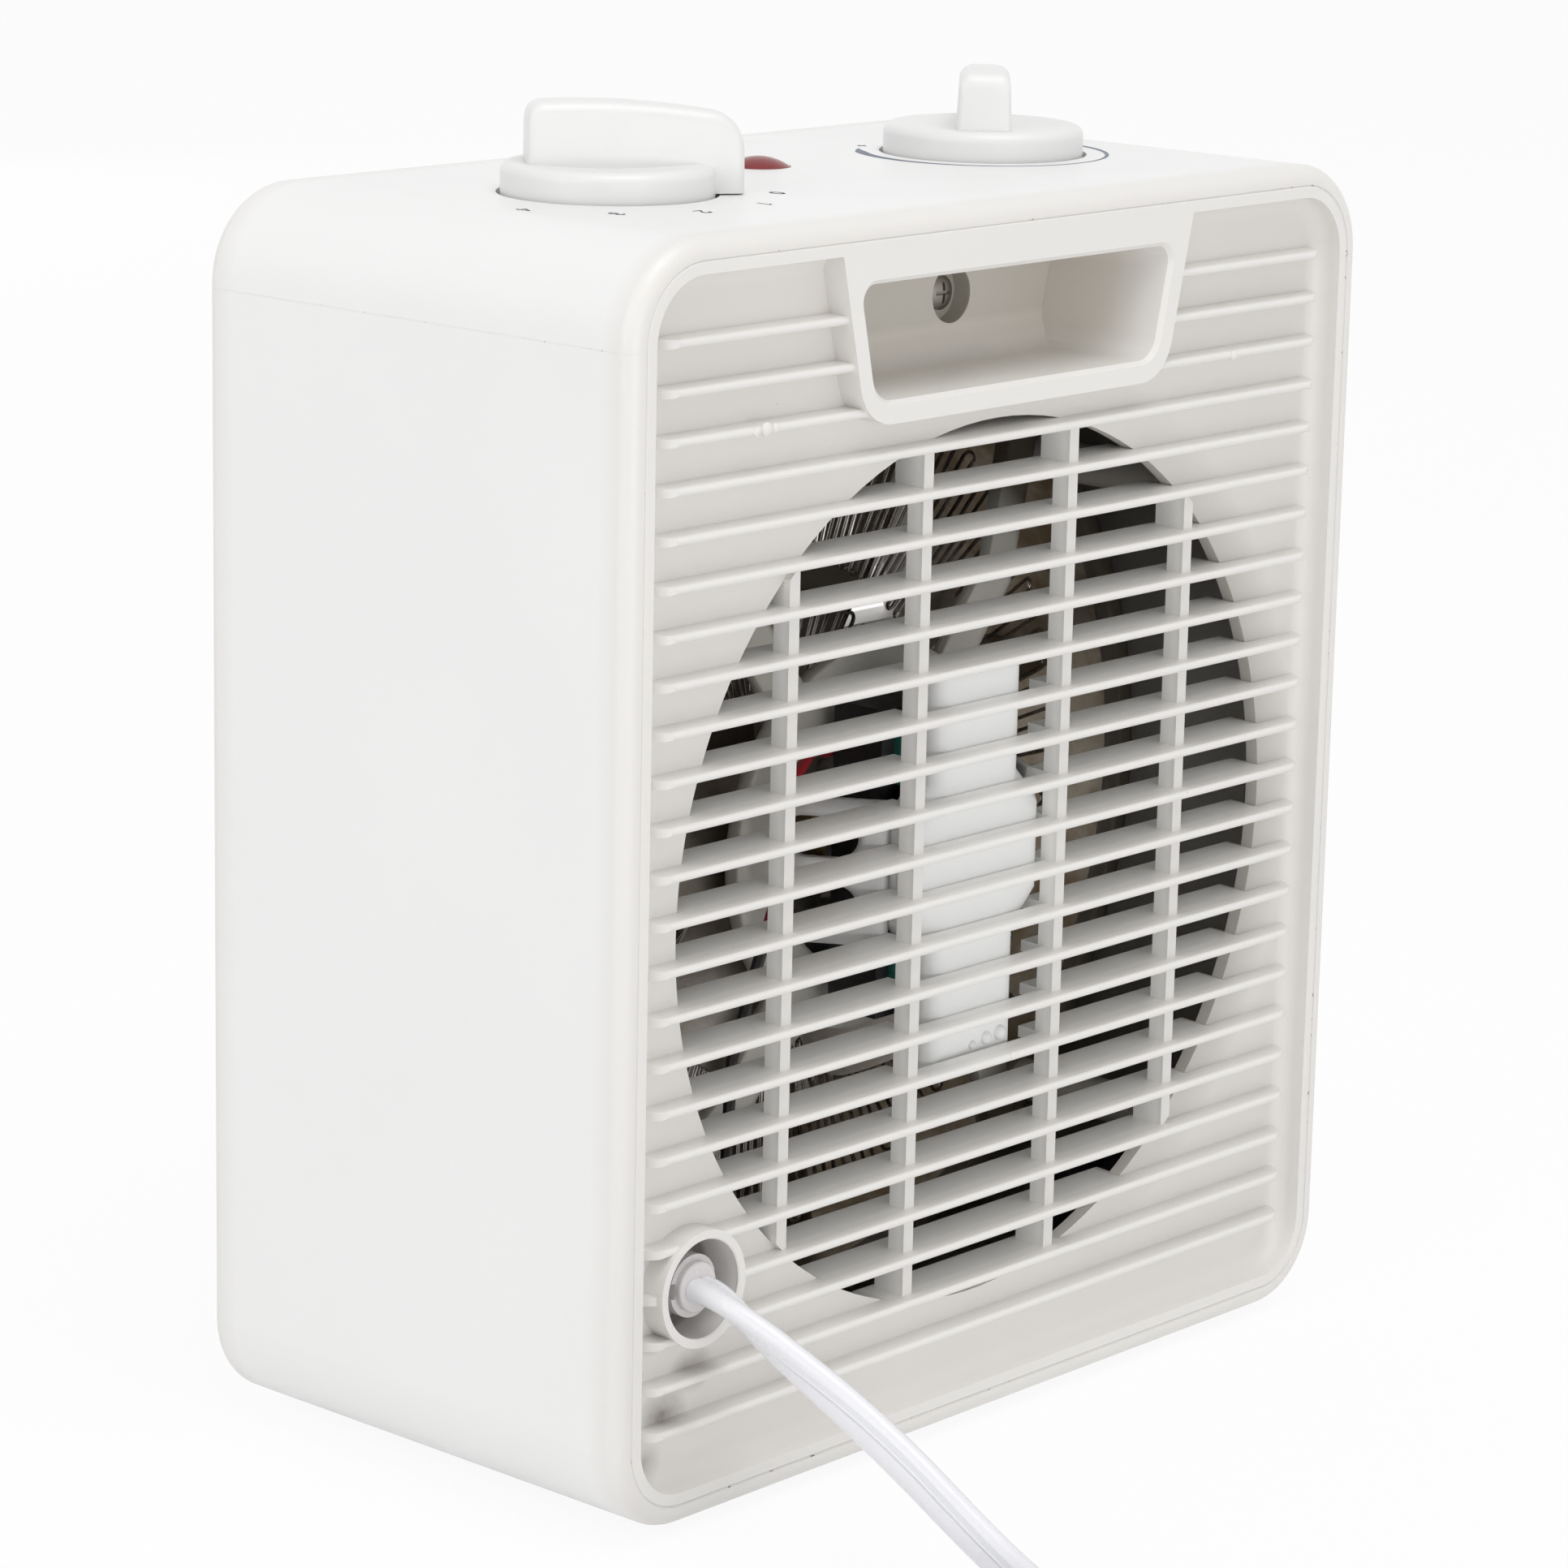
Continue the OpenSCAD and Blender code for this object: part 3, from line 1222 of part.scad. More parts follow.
side_body();
top_cover();
rear_panel();
front_grille();
feet();
base_screws();
pocket_screw();
selector_knob();
selector_spindle();
selector_switch();
thermostat_knob();
thermostat_spindle();
thermostat();
control_screws();
pilot_lens();
pilot_lamp();
motor_cover();
motor_core();
motor_coils();
motor_brackets();
motor_screws();
motor_spider();
spider_screws();
rotor();
fan_shaft();
fan_hub();
fan_blades();
fan_clip();
heat_shield();
mica_star();
outer_heating_wire();
inner_heating_wire();
element_terminals();
thermal_cutout();
tilt_switch();
terminal_block();
line_leads();
motor_lead();
element_leads();
lamp_lead();
strain_relief();
supply_cord();
cord_coil();
cord_tie();
plug_body();
plug_blades();
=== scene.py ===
import json
import math

import bmesh
import bpy
from mathutils import Matrix, Vector


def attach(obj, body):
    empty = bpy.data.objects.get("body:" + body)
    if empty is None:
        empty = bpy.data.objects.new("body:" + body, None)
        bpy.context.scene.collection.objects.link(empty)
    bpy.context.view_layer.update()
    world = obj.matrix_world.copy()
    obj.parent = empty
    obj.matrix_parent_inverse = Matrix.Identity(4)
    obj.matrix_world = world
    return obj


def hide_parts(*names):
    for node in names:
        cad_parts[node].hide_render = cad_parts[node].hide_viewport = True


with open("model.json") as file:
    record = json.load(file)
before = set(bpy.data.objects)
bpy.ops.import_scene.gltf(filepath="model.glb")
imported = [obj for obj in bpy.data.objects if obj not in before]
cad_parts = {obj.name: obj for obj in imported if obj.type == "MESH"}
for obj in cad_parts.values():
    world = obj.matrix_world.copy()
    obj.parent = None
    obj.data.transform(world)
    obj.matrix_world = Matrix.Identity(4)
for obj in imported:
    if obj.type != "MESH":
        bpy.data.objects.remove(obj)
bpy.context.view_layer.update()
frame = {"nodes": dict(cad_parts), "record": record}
nodes = frame["nodes"]
scene = bpy.context.scene
scene.view_settings.view_transform = "Standard"

MM = 0.001
TOP = 0.236                             # the casing's top face
BASE_Z = 0.002                          # and its underside
HALF_W = 0.104
LOW_R, HIGH_R = 0.017, 0.018            # radii of its lower and upper corners, seen from behind
AXIS_Z = 0.11                           # height of the fan's axis
KNOB_X, KNOB_Y = 0.0531, -0.00125       # the knobs' axes, at +x and -x
RING_AT = (0.0815, 0.0457)              # the cord outlet's axis, as (x, z)
THIN = 0.00001                          # a hair's breadth that keeps faces from lying in one plane

# ---- Camera ----


def make_camera():
    """The photograph's camera: its place and its three axes."""
    right = Vector((-0.67151, 0.74071, 0.02048))
    up = Vector((-0.15748, -0.16967, 0.97284))
    back = Vector((0.72406, 0.65005, 0.23059))
    data = bpy.data.cameras.new("camera")
    data.lens = 120.03
    data.sensor_width = 36
    data.clip_start = 0.05
    data.clip_end = 50
    camera = bpy.data.objects.new("camera", data)
    camera.matrix_world = Matrix.Translation((0.73923, 0.66100, 0.35160)) @ Matrix(
        (right, up, back)
    ).transposed().to_4x4()
    scene.collection.objects.link(camera)
    scene.camera = camera


make_camera()

# ---- Materials ----


class Paint:
    """One procedural material in the piece's own coordinates, which are those of the part."""

    def __init__(self, name, **sockets):
        self.material = bpy.data.materials.new(name)
        self.material.use_nodes = True
        tree = self.material.node_tree
        self.nodes, self.links = tree.nodes, tree.links
        self.shader = self.nodes["Principled BSDF"]
        self.place = self.add("ShaderNodeTexCoord").outputs["Object"]
        for key, value in sockets.items():
            socket = key.replace("_", " ").title().replace("Ior", "IOR")
            self.shader.inputs[socket].default_value = value

    def add(self, kind, inputs=(), **settings):
        """A node with its settings and with its inputs linked or set."""
        node = self.nodes.new(kind)
        for key, value in settings.items():
            setattr(node, key, value)
        for key, value in dict(inputs).items():
            self.put(value, node.inputs[key])
        return node

    def put(self, value, socket):
        """Links a value to a socket, or sets it there."""
        if isinstance(value, bpy.types.NodeSocket):
            self.links.new(value, socket)
        else:
            socket.default_value = value

    def moved(self, at=(0, 0, 0), stretch=(1, 1, 1)):
        """The place counted from a point and stretched along the axes."""
        shift = [-a * s for a, s in zip(at, stretch)]
        return self.add(
            "ShaderNodeMapping", {"Vector": self.place, "Location": shift, "Scale": stretch}
        ).outputs[0]

    def noise(self, size, detail=2, rough=0.5, stretch=(1, 1, 1)):
        """Noise from 0 to 1 whose features are about as large as size, in metres."""
        place = self.place if stretch == (1, 1, 1) else self.moved(stretch=stretch)
        return self.add(
            "ShaderNodeTexNoise",
            {"Vector": place, "Scale": 1 / size, "Detail": detail, "Roughness": rough},
        ).outputs["Fac"]

    def span(self, value, low, high, to_low=0.0, to_high=1.0):
        """value moved from one range to another, held at its ends."""
        return self.add("ShaderNodeMapRange", {
            "Value": value, "From Min": low, "From Max": high,
            "To Min": to_low, "To Max": to_high,
        }).outputs["Result"]

    def math(self, kind, a, b=0.0):
        """The result of one mathematical operation."""
        node = self.add("ShaderNodeMath", operation=kind)
        self.put(a, node.inputs[0])
        self.put(b, node.inputs[1])
        return node.outputs[0]

    def times(self, a, b):
        """The product of two values."""
        return self.math("MULTIPLY", a, b)

    def blend(self, share, a, b):
        """Two colours mixed by share."""
        node = self.add("ShaderNodeMix", data_type="RGBA")
        self.put(share, node.inputs["Factor"])
        for socket, value in (("A", a), ("B", b)):
            target = next(i for i in node.inputs if i.name == socket and i.type == "RGBA")
            self.put(value if isinstance(value, bpy.types.NodeSocket) else (*value, 1), target)
        return next(o for o in node.outputs if o.type == "RGBA")

    def near(self, at, reach, stretch=(1, 1, 1)):
        """1 at a point, falling to 0 at reach from it."""
        return self.span(self.length(self.moved(at, stretch)), 0, reach, 1.0, 0.0)

    def length(self, vector):
        """A vector's length."""
        return self.add("ShaderNodeVectorMath", {0: vector}, operation="LENGTH").outputs["Value"]

    def axes(self):
        """The place's x, y and z."""
        return self.add("ShaderNodeSeparateXYZ", {0: self.place}).outputs

    def radius(self, x, z):
        """Distance from the fan's axis."""
        flat = self.add("ShaderNodeCombineXYZ", {0: x, 2: self.math("SUBTRACT", z, AXIS_Z)})
        return self.length(flat.outputs[0])

    def finish(self, color, rough, height=None, depth=0.0, soft=0.0):
        """Links the colour and the roughness, and a bump depth metres high.

        Where soft is given, the shading of edges is rounded over so many metres.
        """
        plain = not isinstance(color, bpy.types.NodeSocket)
        self.put((*color, 1) if plain else color, self.shader.inputs["Base Color"])
        self.put(rough, self.shader.inputs["Roughness"])
        if height is not None:
            bump = self.add(
                "ShaderNodeBump", {"Height": height, "Distance": depth, "Strength": 1.0}
            )
            if soft:
                edge = self.add("ShaderNodeBevel", {"Radius": soft}, samples=6)
                self.links.new(edge.outputs[0], bump.inputs["Normal"])
            self.links.new(bump.outputs[0], self.shader.inputs["Normal"])
        return self.material


def moulded(name, color, rough, shift=0.012, depth=0.00001, dirt_and_shade=None, soft=0.0, **sockets):
    """Moulded plastic: a slow drift of tone, fine grain, rubbed patches, and dirt and painted shade
    where asked.
    """
    paint = Paint(name, **sockets)
    dark = [c * (1 - shift) for c in color]
    light = [min(1, c * (1 + shift)) for c in color]
    tone = paint.blend(paint.span(paint.noise(0.05, 3), 0.3, 0.7), dark, light)
    grain = paint.noise(0.0006, 2)
    shaded = [c * 0.85 for c in color]
    tone = paint.blend(paint.span(grain, 0.2, 0.8, 0, 0.05), tone, shaded)
    if dirt_and_shade:
        tone = dirt_and_shade(paint, tone)
    rubbed = paint.span(paint.noise(0.012, 4, 0.6), 0.35, 0.7, rough - 0.05, rough + 0.06)
    return paint.finish(tone, rubbed, grain, depth, soft)


def metal(name, color, rough, streak=(1, 1, 1), stain=None, dirt_and_shade=None):
    """Sheet or turned metal: drawn streaks, and a stain of heat or oxide where asked."""
    paint = Paint(name, metallic=1.0)
    lines = paint.noise(0.0015, 3, 0.6, streak)
    tone = paint.blend(paint.span(lines, 0.3, 0.7), [c * 0.8 for c in color], color)
    if stain:
        patches = paint.span(paint.noise(0.02, 4, 0.65), 0.42, 0.62)
        tone = paint.blend(patches, tone, stain)
    if dirt_and_shade:
        tone = dirt_and_shade(paint, tone)
    wear = paint.span(paint.noise(0.006, 4, 0.6), 0.3, 0.7, rough - 0.08, rough + 0.1)
    return paint.finish(tone, wear, lines, 0.00001)


# Each pair is a stretch in metres over which one tone gives way to another.
RIM_DEPTH = (0.0465, 0.0535)        # |y| towards the casing's front and rear edges
WALL_DEPTH = (0.0455, 0.0445)       # |y| from the edges into the casing
WALL_OUT = (0.0168, 0.0158)         # distance from the corners' centres, inwards through the wall
CORNER_X, CORNER_HIGH, CORNER_LOW = 0.0865, 0.2178, 0.019
BACK_DEPTH = (0.0462, 0.0445)       # |y| through a panel to its back
BACK_OUT = (0.0853, 0.0856)         # distance from the fan's axis, past the openings' rim
BACK_TOP = (0.2, 0.198)             # z, down from the grip pocket
LOUVRE_OUT = (0.0848, 0.0846)       # distance from the fan's axis, into the openings
LOUVRE_DEPTH = (0.0503, 0.0488)     # |y| below the louvres' front edges
REAR = (0, 0.001)                   # y, for what only the rear half has
POCKET_DEPTH = (0.05, 0.042)        # y into the grip pocket
POCKET_LOW = (0.2, 0.203)           # z up to the grip pocket
POCKET_FLOOR = (0.2036, 0.2075)     # z up from the pocket's floor, which takes less of the painted shade
WELL_DEPTH = (0.0292, 0.0285)       # y into the screw's well
GRIME_SHADOW_DEPTH = (0.0535, 0.0492)     # y from the ribs' edges down to the floor between them
SHADE_SIDE = (-0.03, -0.075)        # x towards the side that lies in the shade
SHADE_DEPTH = (0.0494, 0.0488)      # y below the ribs
SHADE_OUT = (0.0845, 0.0848)        # distance from the fan's axis, past the opening's wall
SHADE_FADE = (0.096, 0.0848)        # the same, over which the shade fades outwards
SPIDER_SHADE_DEPTH = (0.03, 0.026)         # y from the motor cover forward to the spider
RING_OUT = (0.068, 0.078)           # distance from the fan's axis to the spider's outer ring
RING_TOP = (0.215, 0.212)           # z, down from the controls
SCREW_LOW = (0.198, 0.2)            # z up to the pocket screw
SCREW_DEPTH = (0.005, 0.01)         # y up to the pocket screw
BUSH_DEPTH = (0.0529, 0.0526)       # y from the cord forward to its bush
SLEEVE_TOP = (0.1035, 0.103)        # z down to the lead's sleeve

# dirt mixed with painted shadow under the cord ring: place, reach and strength
GRIME_AND_SHADOW_SPOTS = (
    ((0.079, 0.0486, 0.0285), 0.0062, 1.0),
    ((0.0865, 0.0486, 0.022), 0.0068, 1.0),
    ((0.0895, 0.05, 0.0365), 0.004, 0.7),
    ((0.0925, 0.0486, 0.0135), 0.006, 0.8),
)
WARM_RIM = (0.765, 0.74, 0.705)
# painted shade for the inside of the casing and the backs of the panels
INSIDE_SHADE = (0.3, 0.285, 0.26)
# dirt mixed with painted shadow
GRIME_AND_SHADOW = (0.2, 0.165, 0.135)
SPECK = (0.2, 0.18, 0.16)
# painted light on the louvres' tops inside the openings
LOUVRE_LIGHT = (0.93, 0.92, 0.895)
# painted shade in the grip pocket and in its screw's well
POCKET_SHADE = (0.66, 0.625, 0.57)
WELL_SHADE = (0.44, 0.42, 0.37)
SOFT_SHADE = (0.36, 0.33, 0.29)
# painted shade on the spider, deeper in than the motor cover
SPIDER_SHADE = (0.6, 0.58, 0.53)
RING_DARK = (0.1, 0.085, 0.065)
# painted shade on the screw in the pocket's well
SCREW_SHADE = (0.3, 0.285, 0.255)
BUSH_GREY = (0.68, 0.65, 0.65)
SLEEVE_BLACK = (0.035, 0.03, 0.03)
SEAM_SPECK = (0.12, 0.11, 0.1)


def casing_tone(paint, tone):
    """The rims are a little warmer, and the inside is darkened with painted shade."""
    x, y, z = paint.axes()
    depth = paint.math("ABSOLUTE", y)
    tone = paint.blend(paint.span(depth, *RIM_DEPTH, 0, 0.8), tone, WARM_RIM)
    # how far a place is out from the box on which the rounded corners are centred
    across = paint.math("MAXIMUM", paint.math("SUBTRACT", paint.math("ABSOLUTE", x), CORNER_X))
    above = paint.math("MAXIMUM", paint.math("SUBTRACT", z, CORNER_HIGH))
    below = paint.math("MAXIMUM", paint.math("SUBTRACT", CORNER_LOW, z))
    out = paint.add("ShaderNodeCombineXYZ", {0: across, 1: above, 2: below}).outputs[0]
    # the inside of the casing is darkened with painted shade
    inside = paint.times(paint.span(paint.length(out), *WALL_OUT), paint.span(depth, *WALL_DEPTH))
    return paint.blend(inside, tone, INSIDE_SHADE)


def grimed_and_shaded(paint, tone, y):
    """Grey-brown dirt mixed with painted shadow, strongest on the floor between the ribs, and a few
    tiny specks of dirt.
    """
    patchy = paint.span(paint.noise(0.005, 3, 0.5), 0.3, 0.7, 0.45, 0.95)
    floor = paint.span(y, *GRIME_SHADOW_DEPTH, 0.3, 1.0)
    for at, reach, strength in GRIME_AND_SHADOW_SPOTS:
        share = paint.times(paint.near(at, reach, (1, 0.6, 1.3)), patchy)
        tone = paint.blend(paint.times(share, paint.times(floor, strength)), tone, GRIME_AND_SHADOW)
    dots = paint.span(paint.noise(0.0011, 1, 0.5), 0.8, 0.84)
    patches = paint.span(paint.noise(0.03, 1), 0.55, 0.62)
    return paint.blend(paint.times(paint.times(dots, patches), 0.5), tone, SPECK)


def panel_tone(paint, tone):
    """Dirt mixed with painted shadow outside, painted shade on the backs, painted light on the
    louvres' tops, and painted shade in the pocket, its well and beside the opening.
    """
    x, y, z = paint.axes()
    depth = paint.math("ABSOLUTE", y)
    far = paint.radius(x, z)
    rear = paint.span(y, *REAR)
    tone = grimed_and_shaded(paint, tone, y)

    # the backs of the panels beyond the openings are darkened with painted shade
    back = paint.times(paint.span(depth, *BACK_DEPTH, 0, 0.75), paint.span(far, *BACK_OUT))
    tone = paint.blend(paint.times(back, paint.span(z, *BACK_TOP)), tone, INSIDE_SHADE)
    # painted light: the louvres' tops inside the openings are brightened
    tops = paint.times(paint.span(far, *LOUVRE_OUT), paint.span(depth, *LOUVRE_DEPTH))
    tone = paint.blend(tops, tone, LOUVRE_LIGHT)

    # painted shade in the grip pocket, lighter on its floor
    pocket = paint.times(paint.span(y, *POCKET_DEPTH, 0, 0.92), paint.span(z, *POCKET_LOW))
    pocket = paint.times(pocket, paint.span(z, *POCKET_FLOOR, 0.4, 1.0))
    tone = paint.blend(paint.times(pocket, rear), tone, POCKET_SHADE)
    # painted shade in the screw's well
    well = paint.times(paint.span(y, *WELL_DEPTH), paint.span(z, *POCKET_LOW))
    tone = paint.blend(paint.times(well, rear), tone, WELL_SHADE)

    # the wall of the air opening and the floor next to it, on the shaded side
    shade = paint.times(paint.span(x, *SHADE_SIDE), paint.span(y, *SHADE_DEPTH))
    shade = paint.times(shade, paint.span(far, *SHADE_OUT))
    shade = paint.times(shade, paint.span(far, *SHADE_FADE, 0, 0.55))
    return paint.blend(paint.times(shade, rear), tone, SOFT_SHADE)


def inner_tone(paint, tone):
    """The spider is darkened with painted shade forward of the white motor cover, and its outer
    ring is dark.
    """
    x, y, z = paint.axes()
    # painted shade on the spider forward of the motor cover
    tone = paint.blend(paint.span(y, *SPIDER_SHADE_DEPTH), tone, SPIDER_SHADE)
    ring = paint.times(paint.span(paint.radius(x, z), *RING_OUT), paint.span(z, *RING_TOP))
    return paint.blend(ring, tone, RING_DARK)


def screw_tone(paint, tone):
    """The screw deep in the grip pocket's well is darkened with painted shade."""
    _, y, z = paint.axes()
    pocket = paint.times(paint.span(z, *SCREW_LOW), paint.span(y, *SCREW_DEPTH))
    return paint.blend(pocket, tone, SCREW_SHADE)


def cord_tone(paint, tone):
    """The bush in the ring is a warmer grey than the cord."""
    return paint.blend(paint.span(paint.axes()[1], *BUSH_DEPTH), tone, BUSH_GREY)


def lead_tone(paint, tone):
    """The lower stretch of the red lead runs in a dark sleeve."""
    return paint.blend(paint.span(paint.axes()[2], *SLEEVE_TOP), tone, SLEEVE_BLACK)


def seam_tone(paint, tone):
    """Dust in a seam: a pale line with small black specks."""
    speck = paint.span(paint.noise(0.0016, 2, 0.6), 0.66, 0.7, 0, 0.95)
    return paint.blend(speck, tone, SEAM_SPECK)


# The first value is the material's name, then come its colour and its roughness.
FINISH = {
    "casing_plastic": moulded("casing_white", (0.85, 0.85, 0.845), 0.38, dirt_and_shade=casing_tone),
    "panel_plastic": moulded("panel_white", (0.79, 0.772, 0.745), 0.42, dirt_and_shade=panel_tone),
    "knob_plastic": moulded("knob_white", (0.79, 0.788, 0.782), 0.36),
    "inner_plastic": moulded(
        "inner_white", (0.88, 0.885, 0.88), 0.4, dirt_and_shade=inner_tone, soft=0.0022
    ),
    "switch_plastic": moulded("black_phenolic", (0.03, 0.03, 0.033), 0.45),
    "foot_rubber": moulded("foot_rubber", (0.06, 0.06, 0.06), 0.75, shift=0.1),
    "screw_steel": metal("zinc_steel", (0.5, 0.5, 0.5), 0.42, dirt_and_shade=screw_tone),
    "lamination_steel": metal("laminations", (0.08, 0.08, 0.085), 0.5, (1, 12, 1)),
    "coil_tape": moulded("coil_tape", (0.03, 0.17, 0.14), 0.3, shift=0.1),
    "fan_aluminium": metal("fan_sheet", (0.5, 0.46, 0.42), 0.5, (1, 1, 6), (0.36, 0.32, 0.28)),
    "shield_steel": metal("shield_steel", (0.5, 0.44, 0.36), 0.45, (1, 8, 1), (0.27, 0.2, 0.13)),
    "mica": moulded("mica", (0.07, 0.05, 0.03), 0.4, shift=0.25),
    "heating_wire": metal("heating_wire", (0.55, 0.52, 0.5), 0.28, (1, 1, 1), (0.25, 0.22, 0.2)),
    "steatite": moulded("steatite", (0.72, 0.68, 0.58), 0.55),
    "brass": metal("brass", (0.72, 0.55, 0.26), 0.3),
    "lens_red": moulded(
        "red_lens", (0.26, 0.008, 0.01), 0.2, depth=0, transmission_weight=0.2, ior=1.49
    ),
    "lamp_glass": moulded("lamp_glass", (0.8, 0.55, 0.4), 0.15, depth=0),
    "lead_insulation": moulded("lead_pale", (0.72, 0.7, 0.66), 0.35),
    "lead_red": moulded("lead_red", (0.4, 0.02, 0.03), 0.4, dirt_and_shade=lead_tone),
    "cord_vinyl": moulded(
        "cord_vinyl", (0.83, 0.83, 0.862), 0.28, depth=0.000004, dirt_and_shade=cord_tone
    ),
    "tie_plastic": moulded("tie_plastic", (0.78, 0.78, 0.78), 0.4),
}
SEAM_DUST = moulded("seam_dust", (0.8, 0.79, 0.775), 0.5, dirt_and_shade=seam_tone)
SIDE_SEAM_DUST = moulded("side_seam_dust", (0.84, 0.84, 0.835), 0.5, dirt_and_shade=seam_tone)
INK = moulded("grey_ink", (0.1, 0.1, 0.11), 0.5, depth=0)
BLUE_INK = moulded("blue_ink", (0.13, 0.15, 0.2), 0.5, depth=0)

SLOT_OF = {row["node"]: row["material_slot"] for row in frame["record"]["subparts"]}

for name, node in nodes.items():
    node.data.materials.clear()
    node.data.materials.append(FINISH[SLOT_OF[name]])

# ---- Helpers for pieces ----


def face_outward(mesh):
    """Turns the faces of closed skins outward."""
    shape = bmesh.new()
    shape.from_mesh(mesh)
    bmesh.ops.recalc_face_normals(shape, faces=shape.faces)
    shape.to_mesh(mesh)
    shape.free()


def shade_smooth(mesh, sharp):
    """Smooth shading, except over edges sharper than so many degrees."""
    mesh.polygons.foreach_set("use_smooth", [True] * len(mesh.polygons))
    mesh.set_sharp_from_angle(angle=math.radians(sharp))


def add_piece(name, verts, faces, slot, body="casing", sharp=35, standing_for=(), material=None):
    """A mesh in the part's own frame that rides on a body and takes its finish from a slot."""
    mesh = bpy.data.meshes.new(name)
    mesh.from_pydata([tuple(v) for v in verts], [], faces)
    mesh.validate()
    face_outward(mesh)
    shade_smooth(mesh, sharp)
    mesh.materials.append(material or FINISH[slot])
    piece = bpy.data.objects.new(name, mesh)
    scene.collection.objects.link(piece)
    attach(piece, body)
    if standing_for:
        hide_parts(*standing_for)
    return piece


def join(verts, faces, more_verts, more_faces):
    """Adds a second skin to the lists of the first."""
    start = len(verts)
    verts.extend(more_verts)
    faces.extend(tuple(start + i for i in face) for face in more_faces)


def loft(rings, closed_ends=True):
    """Vertices and faces of a skin over rings with equal numbers of points."""
    count = len(rings[0])
    verts = [p for ring in rings for p in ring]
    faces = []
    for i in range(len(rings) - 1):
        for k in range(count):
            a, b = i * count + k, i * count + (k + 1) % count
            faces.append((a, b, b + count, a + count))
    if closed_ends:
        faces.append(tuple(range(count - 1, -1, -1)))
        last = (len(rings) - 1) * count
        faces.append(tuple(last + k for k in range(count)))
    return verts, faces


def revolve(profile, count=96):
    """Vertices and faces of the solid that a closed (radius, height) outline sweeps round +Z."""
    verts, faces = [], []
    for k in range(count):
        a = 2 * math.pi * k / count
        verts += [(r * math.cos(a), r * math.sin(a), z) for r, z in profile]
    n = len(profile)
    for k in range(count):
        for i in range(n):
            j = (i + 1) % n
            a, b = k * n, (k + 1) % count * n
            faces.append((a + i, b + i, b + j, a + j))
    return verts, faces


def arc_points(centre, r, start, end, steps):
    """Points of an arc between two angles in degrees."""
    return [
        (centre[0] + r * math.cos(math.radians(start + (end - start) * k / steps)),
         centre[1] + r * math.sin(math.radians(start + (end - start) * k / steps)))
        for k in range(steps + 1)
    ]


# ---- Cord ----

# The free stretch, in metres, and how many degrees the flat cord has turned on its side there
ROUTE = [
    (0.0815, 0.051, 0.0457), (0.0815, 0.056, 0.0452), (0.0812, 0.062, 0.043),
    (0.0804, 0.068, 0.0398), (0.079, 0.076, 0.0353), (0.0776, 0.084, 0.0308),
    (0.0766, 0.092, 0.0263), (0.0762, 0.1, 0.0219), (0.0762, 0.108, 0.0175),
    (0.0764, 0.116, 0.0134), (0.0768, 0.124, 0.0099), (0.0772, 0.132, 0.0072),
    (0.0776, 0.139, 0.0055), (0.078, 0.146, 0.0047), (0.078, 0.152, 0.0045),
    (0.078, 0.158, 0.0045), (0.078, 0.164, 0.0045),
]
ROLL = [0, 8, 32, 58, 78, 93, 102, 106, 106, 104, 100, 96, 92, 90, 90, 90, 90]
CORD_W = 0.0074
CORD_T = 0.004
CORD_GROOVE = 0.0004    # depth of the groove between its cores
CORD_RIB = 0.00011      # and of the fine ones beside its ribs
COIL_CENTRE = (0.126, 0.172)
COIL_R = 0.048
COIL_PITCH = 0.0049
COIL_TURNS = 3          # in each of its two layers
COIL_LOW = 0.0045
COIL_LAYER = 0.0081
PLUG_AT = Vector((0.174, 0.139, 0.0126))
ON_EDGE = math.pi / 2   # the cord's roll in the coil
ROUTE_STEPS = 6         # points of the cord for each one of its route
COIL_STEPS = 48         # and for each turn of the coil


def coil_point(angle):
    """A point of the coil after it has turned by angle degrees, as in the part's source."""
    middle = 360 * COIL_TURNS + 90
    r = COIL_R - COIL_PITCH * (middle - abs(angle - middle)) / 360
    u = min(1, max(0, (angle - 360 * COIL_TURNS) / 180))
    a = math.radians(angle)
    return Vector((
        COIL_CENTRE[0] - r * math.cos(a),
        COIL_CENTRE[1] + r * math.sin(a),
        COIL_LOW + COIL_LAYER * u * u * (3 - 2 * u),
    ))


def smooth(points, steps):
    """Points of a smooth curve through the given ones."""
    out = []
    for i in range(len(points) - 1):
        p0, p1 = points[max(i - 1, 0)], points[i]
        p2, p3 = points[i + 1], points[min(i + 2, len(points) - 1)]
        for k in range(steps):
            t = k / steps
            out.append(0.5 * (
                2 * p1 + (p2 - p0) * t + (2 * p0 - 5 * p1 + 4 * p2 - p3) * t * t
                + (3 * p1 - p0 - 3 * p2 + p3) * t ** 3
            ))
    return out + [points[-1]]


def cord_section():
    """Outline (along the width, along the thickness) of the flat two-core cord."""
    r = CORD_T / 2
    centre = CORD_W / 2 - r
    side = []
    for k in range(9):
        a = math.radians(-90 + 22.5 * k)
        side.append((centre + r * math.cos(a), r * math.sin(a)))
    # each face from one side to the other: a groove in the middle, then fine ribs over one core
    face = [(0.0003, r), (0.0001, r - CORD_GROOVE), (-0.0001, r - CORD_GROOVE), (-0.0003, r)]
    for k in range(4):
        w = -0.0006 - 0.0003 * k
        face += [(w, r), (w - 0.0001, r - CORD_RIB), (w - 0.0002, r)]
    half = side + face
    return half + [(-w, -t) for w, t in half]


